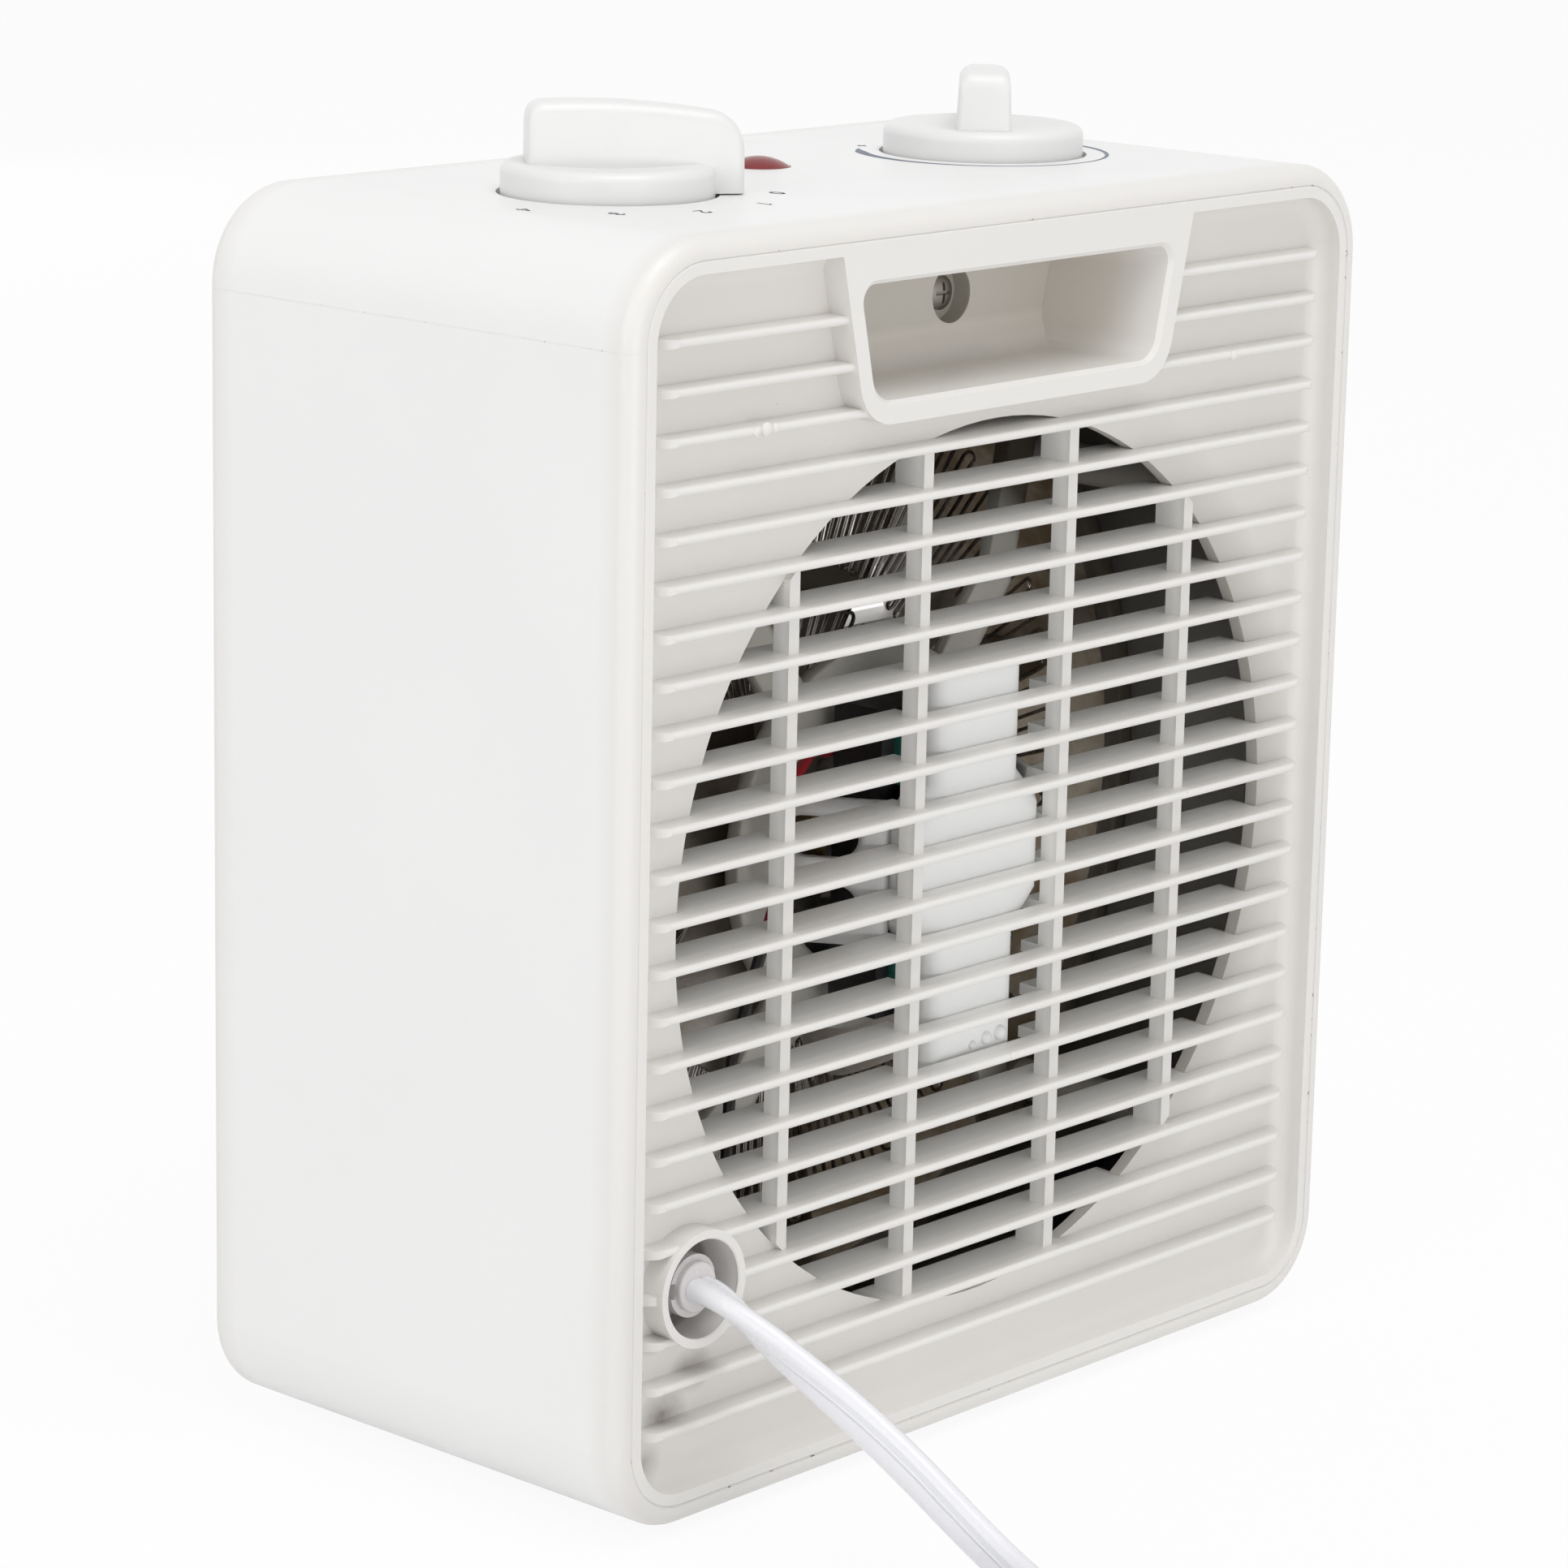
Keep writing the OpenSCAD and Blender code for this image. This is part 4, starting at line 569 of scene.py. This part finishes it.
def cord_path():
    """Points of the cord from its bush to its plug, with its roll in radians at each."""
    route = smooth([Vector(p) for p in ROUTE], ROUTE_STEPS)
    rolls = smooth([Vector((a, 0, 0)) for a in ROLL], ROUTE_STEPS)
    path = [(p, math.radians(a.x)) for p, a in zip(route, rolls)]
    turns = 2 * COIL_TURNS + 0.5
    steps = int(COIL_STEPS * turns)
    path += [(coil_point(360 * turns * i / steps), ON_EDGE) for i in range(steps + 1)]
    end = path[-1][0]
    return path + [(end.lerp(PLUG_AT, k / 6), ON_EDGE) for k in range(1, 7)]


def make_cord():
    """The whole flexible cord, from its bush over the floor and through its coil to the plug."""
    path = cord_path()
    points = [p for p, _ in path]
    section = cord_section()
    rings = []
    for i, (p, roll) in enumerate(path):
        ahead = points[min(i + 1, len(path) - 1)] - points[max(i - 1, 0)]
        if i == 0:
            ahead = Vector((0, 1, 0))
        ahead.normalize()
        side = ahead.cross(Vector((0, 0, 1))).normalized()
        rise = side.cross(ahead)
        wide = side * math.cos(roll) + rise * math.sin(roll)
        thick = rise * math.cos(roll) - side * math.sin(roll)
        rings.append([p + wide * w + thick * t for w, t in section])
    cord = add_piece(
        "cord", *loft(rings), "cord_vinyl", sharp=50, standing_for=("supply_cord", "cord_coil")
    )


make_cord()

# ---- Rear panel ----

BAR_X = (-0.057, -0.021, 0.021, 0.057)
BAR_W = 0.0027
BAR_REAR, BAR_BACK = 0.0464, 0.0429     # the depths between which the upright bars are cut away
INLET_R = 0.0846
RIB_COUNT = 24
RIB_FIRST, RIB_PITCH = 0.218, 0.00862   # height of the topmost rib, and from one to the next
RIB_EDGE_Y, RIB_LONG = 0.0524, 0.0102   # where the ribs' rear edges lie, and how far in they reach
RIB_EDGE_HALF, RIB_TAPER = 0.0008, 0.00035
BOX_FACES = ((0, 1, 3, 2), (4, 6, 7, 5), (0, 4, 5, 1), (2, 3, 7, 6), (0, 2, 6, 4), (1, 5, 7, 3))


def rib_half(y):
    """Half the thickness of a louvre rib at depth y."""
    return RIB_EDGE_HALF + RIB_TAPER * (RIB_EDGE_Y - y) / RIB_LONG


def bar_wedges():
    """Wedges that fill the gaps between the ribs behind the upright bars."""
    verts, faces = [], []
    for x in BAR_X:
        reach = math.sqrt(INLET_R ** 2 - (abs(x) + BAR_W / 2) ** 2)
        for i in range(RIB_COUNT):
            high = RIB_FIRST - i * RIB_PITCH
            low = high - RIB_PITCH
            if high > AXIS_Z + reach or low < AXIS_Z - reach:
                continue
            join(verts, faces, [
                (side, y, z)
                for side in (x - BAR_W / 2 - THIN, x + BAR_W / 2 + THIN)
                for y in (BAR_REAR, BAR_BACK)
                for z in (low + rib_half(y) - THIN, high - rib_half(y) + THIN)
            ], BOX_FACES)
    return verts, faces


def settled(piece):
    """The mesh that a piece has after its modifiers."""
    depsgraph = bpy.context.evaluated_depsgraph_get()
    mesh = bpy.data.meshes.new_from_object(piece.evaluated_get(depsgraph))
    piece.modifiers.clear()
    piece.data = mesh
    return mesh


def welded(node, name):
    """A copy of a node's mesh, in the part's frame, whose faces share their vertices."""
    shape = bmesh.new()
    shape.from_mesh(node.data)
    shape.transform(node.matrix_world)
    bmesh.ops.remove_doubles(shape, verts=shape.verts, dist=0.000001)
    shape.verts.index_update()
    mesh = bpy.data.meshes.new(name)
    mesh.from_pydata(
        [tuple(v.co) for v in shape.verts], [],
        [[v.index for v in face.verts] for face in shape.faces],
    )
    shape.free()
    return mesh


def make_panel():
    """The rear panel with shallow upright bars, as seen through its louvres."""
    cutter_mesh = bpy.data.meshes.new("bar_wedges")
    verts, faces = bar_wedges()
    cutter_mesh.from_pydata(verts, [], faces)
    face_outward(cutter_mesh)
    cutter = bpy.data.objects.new("bar_wedges", cutter_mesh)
    piece = bpy.data.objects.new("louvre_panel", welded(nodes["rear_panel"], "louvre_panel"))
    for thing in (piece, cutter):
        scene.collection.objects.link(thing)
    cut = piece.modifiers.new("cut", "BOOLEAN")
    cut.operation = "DIFFERENCE"
    cut.solver = "EXACT"
    cut.object = cutter
    shade_smooth(settled(piece), 28)
    bpy.data.objects.remove(cutter)
    piece.modifiers.new("even", "WEIGHTED_NORMAL").keep_sharp = True
    mesh = settled(piece)
    mesh.materials.clear()
    mesh.materials.append(FINISH["panel_plastic"])
    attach(piece, "casing")
    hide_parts("rear_panel")


make_panel()

# ---- Seams ----

SEAM_OFF = (0.00366, 0.00394)           # how far in from the casing's outline the panels' seams lie
SEAM_DEPTH = (0.0538, 0.0528)
COVER_SEAM = (0.21736, 0.21764)         # heights of the seam's edges under the top cover
EDGE_X, EDGE_Y = 0.101, 0.051           # axis of the casing's rounded upright edges
SIDE_SEAM_R = (0.00293, 0.0021)         # its outer and inner radius round that axis


def rounded_path(half_x, low, high, r_low, r_high, steps=10):
    """Points (x, z) round an outline with two lower and two upper corner radii."""
    points = []
    for cx, cz, r, start in (
        (half_x - r_low, low + r_low, r_low, -90), (half_x - r_high, high - r_high, r_high, 0),
        (r_high - half_x, high - r_high, r_high, 90), (r_low - half_x, low + r_low, r_low, 180),
    ):
        for k in range(steps + 1):
            a = math.radians(start + 90 * k / steps)
            points.append((cx + r * math.cos(a), cz + r * math.sin(a)))
    return points


def make_panel_seams():
    """Thin fillers a little below the surface in the gaps round both panels."""
    outer, inner = SEAM_OFF
    face, back = SEAM_DEPTH
    rings = [
        rounded_path(HALF_W - off, BASE_Z + off, TOP - off, LOW_R - off, HIGH_R - off)
        for off in (outer, inner, inner, outer)
    ]
    for name, sign in (("rear_seam", 1), ("front_seam", -1)):
        sections = [
            [(x, sign * y, z) for (x, z), y in zip(spot, (face, face, back, back))]
            for spot in zip(*rings)
        ]
        skin = loft(sections + sections[:1], closed_ends=False)
        add_piece(name, *skin, "panel_plastic", material=SEAM_DUST)


def make_side_seams():
    """Thin fillers a little below the surface in the gaps under the top cover."""
    plan = []
    for r in SIDE_SEAM_R:
        line = [(EDGE_X - 0.0006, EDGE_Y + r)] + [
            (EDGE_X + r * math.sin(math.radians(a)), EDGE_Y + r * math.cos(math.radians(a)))
            for a in range(0, 91, 9)
        ]
        plan.append(line + [(x, -y) for x, y in reversed(line)])
    low, high = COVER_SEAM
    for name, sign in (("right_seam", 1), ("left_seam", -1)):
        sections = [
            [
                (sign * x0, y0, low), (sign * x0, y0, high),
                (sign * x1, y1, high), (sign * x1, y1, low),
            ]
            for (x0, y0), (x1, y1) in zip(*plan)
        ]
        add_piece(name, *loft(sections), "casing_plastic", material=SIDE_SEAM_DUST)


make_panel_seams()
make_side_seams()

# ---- Knobs ----

# The wing's outline in millimetres: x along the pointer, z above the casing.
WING_LOW, WING_HIGH = -15.2, 24.8
# the arcs of its upper edge: centre x, centre z, radius
HEEL = (WING_LOW + 3, 13.83, 3)
CROWN = (-5, -141, 158)
NOSE = (17.8, 8.27, 7)
CROWN_START, CROWN_END = WING_LOW + 2.93, 18.86
# half its thickness at the casing and 17 mm above it, at the blunt end and at the pointer
FOOT_HALF = (5.7, 3.5)
HEAD_HALF = (4.85, 2.7)
END_ROUND = 1.3
TOP_ROUND = 2.4


def wing_top(x):
    """Height of the wing above the casing at x, in millimetres."""
    if x > CROWN_END:
        centre_x, centre_z, r = NOSE
    elif x > CROWN_START:
        centre_x, centre_z, r = CROWN
    else:
        centre_x, centre_z, r = HEEL
    return centre_z + math.sqrt(max(0, r ** 2 - (x - centre_x) ** 2))


def wing_half(x, z):
    """Half the thickness of the wing: it narrows towards its top and its pointer."""
    along = min(1, max(0, (x - 2) / (WING_HIGH - 2)))
    foot = FOOT_HALF[0] + (FOOT_HALF[1] - FOOT_HALF[0]) * along
    head = HEAD_HALF[0] + (HEAD_HALF[1] - HEAD_HALF[0]) * along
    half = foot + (head - foot) * z / 17
    for gap in (x - WING_LOW, WING_HIGH - x):
        if gap < END_ROUND:
            half -= END_ROUND - math.sqrt(max(0, END_ROUND ** 2 - (END_ROUND - gap) ** 2))
    return half


def wing_stations():
    """Places along the wing, close together at its ends."""
    blunt, pointer = 3.2, 7.2
    stations = [WING_LOW + blunt * (1 - math.cos(math.pi / 2 * k / 12)) for k in range(13)]
    plain = WING_HIGH - WING_LOW - blunt - pointer
    stations += [WING_LOW + blunt + plain * k / 12 for k in range(1, 12)]
    return stations + [
        WING_HIGH - pointer + pointer * math.sin(math.pi / 2 * k / 16) for k in range(17)
    ]


def knob_wing():
    """Skin of the wing, as rings across it from its blunt end to its pointer."""
    rings = []
    for x in wing_stations():
        top = wing_top(x)
        edge = min(TOP_ROUND, 0.92 * wing_half(x, top))
        heights = (0.3, 2, 5, 8, top - edge)
        if top - edge < 8.1:
            heights = (0.3, 2, 4, 5, top - edge)
        half = [(wing_half(x, z), z) for z in heights]
        side = wing_half(x, top - edge)
        for k in range(1, 9):
            a = math.pi / 2 * k / 8
            half.append((side - edge * (1 - math.cos(a)), top - edge + edge * math.sin(a)))
        ring = half + [(-y, z) for y, z in reversed(half)]
        rings.append([Vector((x, y, z)) * MM for y, z in ring])
    return loft(rings)


DIAL_R = 0.0197
DIAL_LOW = 0.229                        # its underside, in the casing's well
DIAL_HIGH = TOP + 0.0057
DIAL_ROUND = 0.002
DISH_R, DISH_DEPTH = 0.0172, 0.0008
BORE_R, BORE_TOP = 0.00305, 0.2412      # the hole for the spindle
AT_AXIS = 0.0001                        # instead of 0, where faces would collapse


def dial_profile():
    """Outline (radius, height) of the dished disc with its bore."""
    profile = [
        (AT_AXIS, BORE_TOP), (BORE_R, BORE_TOP), (BORE_R, DIAL_LOW), (DIAL_R - 0.0006, DIAL_LOW),
        (DIAL_R, DIAL_LOW + 0.0006),
    ]
    centre = (DIAL_R - DIAL_ROUND, DIAL_HIGH - DIAL_ROUND)
    profile += arc_points(centre, DIAL_ROUND, 0, 90, 10)
    for k in range(15):
        u = DISH_R * math.cos(math.pi / 2 * k / 14)
        drop = DISH_DEPTH * (1 - (u / DISH_R) ** 2) ** 1.4
        profile.append((max(AT_AXIS, u), DIAL_HIGH - drop))
    return profile


def make_knob(name, x, angle, body, node):
    """A dished disc with its wing, which stands for the plain knob on the same spindle."""
    verts, faces = revolve(dial_profile())
    wing_verts, wing_faces = knob_wing()
    join(verts, faces, [v + Vector((0, 0, TOP)) for v in wing_verts], wing_faces)
    at = Matrix.Translation((x, KNOB_Y, 0)) @ Matrix.Rotation(math.radians(angle + 90), 4, "Z")
    add_piece(name, [at @ Vector(v) for v in verts], faces, "knob_plastic", body, 40, (node,))


make_knob("selector_dial", KNOB_X, 50, "selector", "selector_knob")
make_knob("thermostat_dial", -KNOB_X, 130.5, "thermostat_control", "thermostat_knob")

# ---- Pilot lens ----

LENS_Y = -0.0125
LENS_R, LENS_RISE, LENS_WALL = 0.006, 0.0019, 0.0012
LENS_LOW = TOP - 0.0045
COLLAR_R, COLLAR_TOP = LENS_R + 0.0015, LENS_LOW + 0.0017


def make_lens():
    """A low red dome on its collar, hollow below."""
    ball = (LENS_R ** 2 + LENS_RISE ** 2) / (2 * LENS_RISE)
    centre = (0, TOP + LENS_RISE - ball)
    spread = math.degrees(math.asin(LENS_R / ball))
    outer = arc_points(centre, ball, 90 - spread, 90, 12)
    inner = arc_points(centre, ball - LENS_WALL, 90, 90 - 0.72 * spread, 12)
    # the crown keeps a hair's radius, where faces would collapse
    outer[-1] = (0.00002, outer[-1][1])
    inner[0] = (0.00002, inner[0][1])
    profile = [(LENS_R, COLLAR_TOP)] + outer + inner + [
        (LENS_R - LENS_WALL, LENS_LOW), (COLLAR_R, LENS_LOW), (COLLAR_R, COLLAR_TOP),
    ]
    verts, faces = revolve(profile, 64)
    spots = [(x, y + LENS_Y, z) for x, y, z in verts]
    add_piece("pilot_dome", spots, faces, "lens_red", sharp=40, standing_for=("pilot_lens",))


make_lens()

# ---- Cord outlet ----


def turned_in_ring(name, profile, slot):
    """A solid turned about the cord outlet's axis from (radius, y) points."""
    verts, faces = revolve(profile, 64)
    spots = [(RING_AT[0] + x, depth, RING_AT[1] + z) for x, z, depth in verts]
    add_piece(name, spots, faces, slot)


def make_outlet():
    """The raised face of the bush round the cord, and the fine second lip of the ring."""
    face = [(AT_AXIS, 0.0505), (0.0047, 0.0505)] + arc_points((0.0042, 0.0519), 0.0006, 0, 90, 6)
    turned_in_ring("bush_face", face + [(AT_AXIS, 0.0525)], "cord_vinyl")
    lip = arc_points((0.00955, 0.05345), 0.00032, 0, 360, 12)[:-1]
    turned_in_ring("ring_lip", lip, "panel_plastic")


make_outlet()

# ---- Moulding marks ----


def make_beads(name, slot, beads):
    """Small rounded moulding marks (x, y, z, radius, height) on a face that looks back."""
    verts, faces = [], []
    for x, y, z, r, high in beads:
        bulge = [
            (r * math.cos(math.radians(t)), high * math.sin(math.radians(t)))
            for t in range(-75, 76, 15)
        ]
        spots, skin = revolve([(0.00003, -high)] + bulge + [(0.00003, high)], 24)
        join(verts, faces, [(x + a, y + up, z + b) for a, b, up in spots], skin)
    add_piece(name, verts, faces, slot, sharp=60)


make_beads("rib_nubs", "panel_plastic", [
    (0.0687, 0.0531, 0.2009, 0.0013, 0.0007),
    (0.0712, 0.0531, 0.2007, 0.0009, 0.0005),
    (0.0663, 0.0531, 0.2009, 0.0009, 0.0005),
    (-0.0655, 0.0531, 0.2007, 0.001, 0.0006),
    (-0.005, 0.0531, 0.0717, 0.0008, 0.0005),
])
make_beads("cover_nubs", "inner_plastic", [
    (-0.0035, 0.0474, 0.0745, 0.0013, 0.0011),
    (-0.0075, 0.0474, 0.0748, 0.0015, 0.0012),
    (0.0005, 0.0474, 0.0738, 0.0009, 0.0008),
])

# ---- Printing round the knobs ----

PRINT_LOW, PRINT_HIGH = TOP + THIN, TOP + 0.00004

# strokes of the plain figures 0 to 4, on a field 0.6 wide and 1 high
FIGURES = {
    "0": [[
        (0.3 + 0.26 * math.sin(math.radians(a)), 0.5 + 0.46 * math.cos(math.radians(a)))
        for a in range(0, 361, 20)
    ]],
    "1": [[(0.12, 0.78), (0.34, 0.96), (0.34, 0.04)]],
    "2": [[
        (0.06, 0.72), (0.1, 0.86), (0.2, 0.94), (0.32, 0.96), (0.45, 0.91), (0.52, 0.8),
        (0.52, 0.68), (0.45, 0.54), (0.05, 0.04), (0.56, 0.04),
    ]],
    "3": [[
        (0.07, 0.8), (0.15, 0.92), (0.29, 0.96), (0.43, 0.92), (0.5, 0.8), (0.48, 0.64),
        (0.36, 0.54), (0.24, 0.53), (0.38, 0.51), (0.51, 0.42), (0.55, 0.28), (0.48, 0.12),
        (0.33, 0.04), (0.17, 0.06), (0.06, 0.2),
    ]],
    "4": [[(0.58, 0.28), (0.03, 0.28), (0.44, 0.96), (0.44, 0.04)]],
}
FIGURE_HIGH, FIGURE_STROKE = 0.0033, 0.00042
FIGURE_R = 0.0312                       # distance of the figures from the selector's axis
FIGURE_ANGLES = (50, 19, -13, -43, -74)
SCALE_R = 0.0245                        # radius of the heat scale round the thermostat's axis
SCALE_END = 140                         # degrees it reaches to each side
SIGN_ANGLE, SIGN_HALF, SIGN_STROKE = 152, 0.0009, 0.0004


def ribbon(line, width, at):
    """Thin flat bars along a line of points, laid on the top from a corner."""
    verts, faces = [], []
    for (x0, y0), (x1, y1) in zip(line, line[1:]):
        d = Vector((x1 - x0, y1 - y0)).normalized() * width / 2
        spots = []
        for x, y in (
            (x0 - d.x - d.y, y0 - d.y + d.x), (x0 - d.x + d.y, y0 - d.y - d.x),
            (x1 + d.x + d.y, y1 + d.y - d.x), (x1 + d.x - d.y, y1 + d.y + d.x),
        ):
            spots += [(at[0] + x, at[1] + y, PRINT_LOW), (at[0] + x, at[1] + y, PRINT_HIGH)]
        join(verts, faces, spots, (
            (0, 2, 4, 6), (1, 7, 5, 3), (0, 1, 3, 2), (2, 3, 5, 4), (4, 5, 7, 6), (6, 7, 1, 0),
        ))
    return verts, faces


def make_figures():
    """The figures round the selector, and a plus and a minus at the ends of the heat scale."""
    verts, faces = [], []
    for figure, angle in zip("01234", FIGURE_ANGLES):
        a = math.radians(angle)
        corner = (
            KNOB_X - FIGURE_R * math.sin(a) - 0.3 * FIGURE_HIGH,
            KNOB_Y + FIGURE_R * math.cos(a) - 0.5 * FIGURE_HIGH,
        )
        for line in FIGURES[figure]:
            stroke = [(x * FIGURE_HIGH, y * FIGURE_HIGH) for x, y in line]
            join(verts, faces, *ribbon(stroke, FIGURE_STROKE, corner))
    for side in (-1, 1):
        a = math.radians(side * SIGN_ANGLE)
        corner = (-KNOB_X - SCALE_R * math.sin(a), KNOB_Y + SCALE_R * math.cos(a))
        join(verts, faces, *ribbon([(-SIGN_HALF, 0), (SIGN_HALF, 0)], SIGN_STROKE, corner))
        if side < 0:
            join(verts, faces, *ribbon([(0, -SIGN_HALF), (0, SIGN_HALF)], SIGN_STROKE, corner))
    add_piece("dial_figures", verts, faces, "switch_plastic", material=INK)


def make_scale():
    """The heat scale round the thermostat: an arc that swells towards both of its ends."""
    rings = []
    for angle in range(SCALE_END, -SCALE_END - 1, -2):
        a = math.radians(angle)
        width = 0.0005 + 0.0021 * (abs(angle) / SCALE_END) ** 1.6
        width *= min(1, (SCALE_END + 1 - abs(angle)) / 14)
        inner, outer = SCALE_R - width / 2, SCALE_R + width / 2
        rings.append([
            (-KNOB_X - r * math.sin(a), KNOB_Y + r * math.cos(a), z)
            for r, z in (
                (inner, PRINT_LOW), (outer, PRINT_LOW), (outer, PRINT_HIGH), (inner, PRINT_HIGH),
            )
        ])
    add_piece("heat_scale", *loft(rings), "switch_plastic", material=BLUE_INK)


make_figures()
make_scale()

# ---- Heating wires ----

WIRE_R = 0.00042
WIRE_Y = -0.0079
BEND = (-1.05, -0.52, 0, 0.52, 1.05)    # angles round a loop at a zigzag's end


def tube(points, r, sides=6):
    """A round wire through a closed ring of points."""
    rings = []
    n = len(points)
    for i, p in enumerate(points):
        ahead = (points[(i + 1) % n] - points[i - 1]).normalized()
        side = ahead.cross(Vector((0, 1, 0))).normalized()
        rise = side.cross(ahead)
        rings.append([
            p + side * (r * math.cos(2 * math.pi * k / sides))
            + rise * (r * math.sin(2 * math.pi * k / sides))
            for k in range(sides)
        ])
    verts, faces = loft(rings, closed_ends=False)
    last = (n - 1) * sides
    for k in range(sides):
        faces.append((last + k, last + (k + 1) % sides, (k + 1) % sides, k))
    return verts, faces


def make_wire(name, node, r_in, r_out, count):
    """A resistance wire that runs out and back between two radii, with a loop at each end."""
    half = math.pi / count * 0.5
    inner, outer = r_in + half * r_in, r_out - half * r_out
    points = []
    for i in range(count):
        a = 2 * math.pi * i / count
        points += [(r, a - half) for r in (inner, 0.5 * (r_in + r_out), outer)]
        points += [
            (outer + half * r_out * math.cos(t), a + half * math.sin(t)) for t in BEND
        ]
        a = 2 * math.pi * (i + 0.5) / count
        points += [(r, a - half) for r in (outer, 0.5 * (r_in + r_out), inner)]
        points += [
            (inner - half * r_in * math.cos(t), a + half * math.sin(t)) for t in BEND
        ]
    # the wire has sagged a little out of its plane here and there
    spots = [
        Vector((
            r * math.cos(a),
            WIRE_Y + 0.0005 * math.sin(37 * a) * math.cos(900 * r),
            AXIS_Z + r * math.sin(a),
        ))
        for r, a in points
    ]
    add_piece(name, *tube(spots, WIRE_R), "heating_wire", sharp=60, standing_for=(node,))


make_wire("outer_wire", "outer_heating_wire", 0.0505, 0.0879, 92)
make_wire("inner_wire", "inner_heating_wire", 0.0242, 0.0438, 52)

# ---- Floor, world and lamps ----

WHITE = (1, 1, 1, 1)


def make_stage():
    """A pale floor that looks nearly white to the camera and still takes the object's shadow."""
    paint = Paint("floor_white")
    paint.finish((0.9, 0.9, 0.9), 0.8)
    white = paint.add("ShaderNodeEmission", {"Color": WHITE, "Strength": 1.0})
    rays = paint.add("ShaderNodeLightPath")
    seen = paint.math("MAXIMUM", rays.outputs["Is Camera Ray"], rays.outputs["Is Glossy Ray"])
    mixed = paint.add("ShaderNodeMixShader", {
        0: paint.times(seen, 0.92), 1: paint.shader.outputs[0], 2: white.outputs[0],
    })
    paint.links.new(mixed.outputs[0], paint.nodes["Material Output"].inputs["Surface"])
    mesh = bpy.data.meshes.new("floor")
    mesh.from_pydata([(-6, -6, 0), (6, -6, 0), (6, 6, 0), (-6, 6, 0)], [], [(0, 1, 2, 3)])
    mesh.materials.append(paint.material)
    floor = bpy.data.objects.new("floor", mesh)
    floor.location.z = -0.0001
    scene.collection.objects.link(floor)


def make_world():
    """Soft light from all round, and a white backdrop where it is seen, mirrored or refracted."""
    world = bpy.data.worlds.new("studio")
    world.use_nodes = True
    scene.world = world
    tree = world.node_tree
    light = tree.nodes["Background"]
    seen = tree.nodes.new("ShaderNodeBackground")
    for background, strength in ((light, 0.63), (seen, 1.0)):
        background.inputs["Color"].default_value = WHITE
        background.inputs["Strength"].default_value = strength
    rays = tree.nodes.new("ShaderNodeLightPath")
    share = rays.outputs["Is Camera Ray"]
    for ray in ("Is Glossy Ray", "Is Transmission Ray"):
        either = tree.nodes.new("ShaderNodeMath")
        either.operation = "MAXIMUM"
        tree.links.new(share, either.inputs[0])
        tree.links.new(rays.outputs[ray], either.inputs[1])
        share = either.outputs[0]
    mix = tree.nodes.new("ShaderNodeMixShader")
    for i, output in enumerate((share, light.outputs[0], seen.outputs[0])):
        tree.links.new(output, mix.inputs[i])
    tree.links.new(mix.outputs[0], tree.nodes["World Output"].inputs["Surface"])


def add_lamp(name, at, aim, width, height, power):
    """A soft rectangular lamp that faces a point."""
    data = bpy.data.lights.new(name, "AREA")
    data.shape = "RECTANGLE"
    data.size, data.size_y = width, height
    data.energy = power
    lamp = bpy.data.objects.new(name, data)
    lamp.location = at
    lamp.rotation_mode = "QUATERNION"
    lamp.rotation_quaternion = (Vector(aim) - Vector(at)).to_track_quat("-Z", "Y")
    scene.collection.objects.link(lamp)
    return lamp


make_stage()
make_world()
add_lamp("lamp_above", (0.15, 0.55, 1.6), (0, 0, 0.12), 1.0, 1.0, 8.6)
add_lamp("lamp_side", (1.8, -0.1, 0.7), (0, 0, 0.12), 1.4, 1.4, 6.6)
add_lamp("lamp_low", (0.45, 1.25, 0.14), (0, 0, 0.04), 0.9, 0.2, 2.7)
lamp_front = add_lamp("lamp_front", (-0.7, -1.8, 0.5), (0, 0, 0.12), 1.2, 0.8, 3)
lamp_front.visible_glossy = False
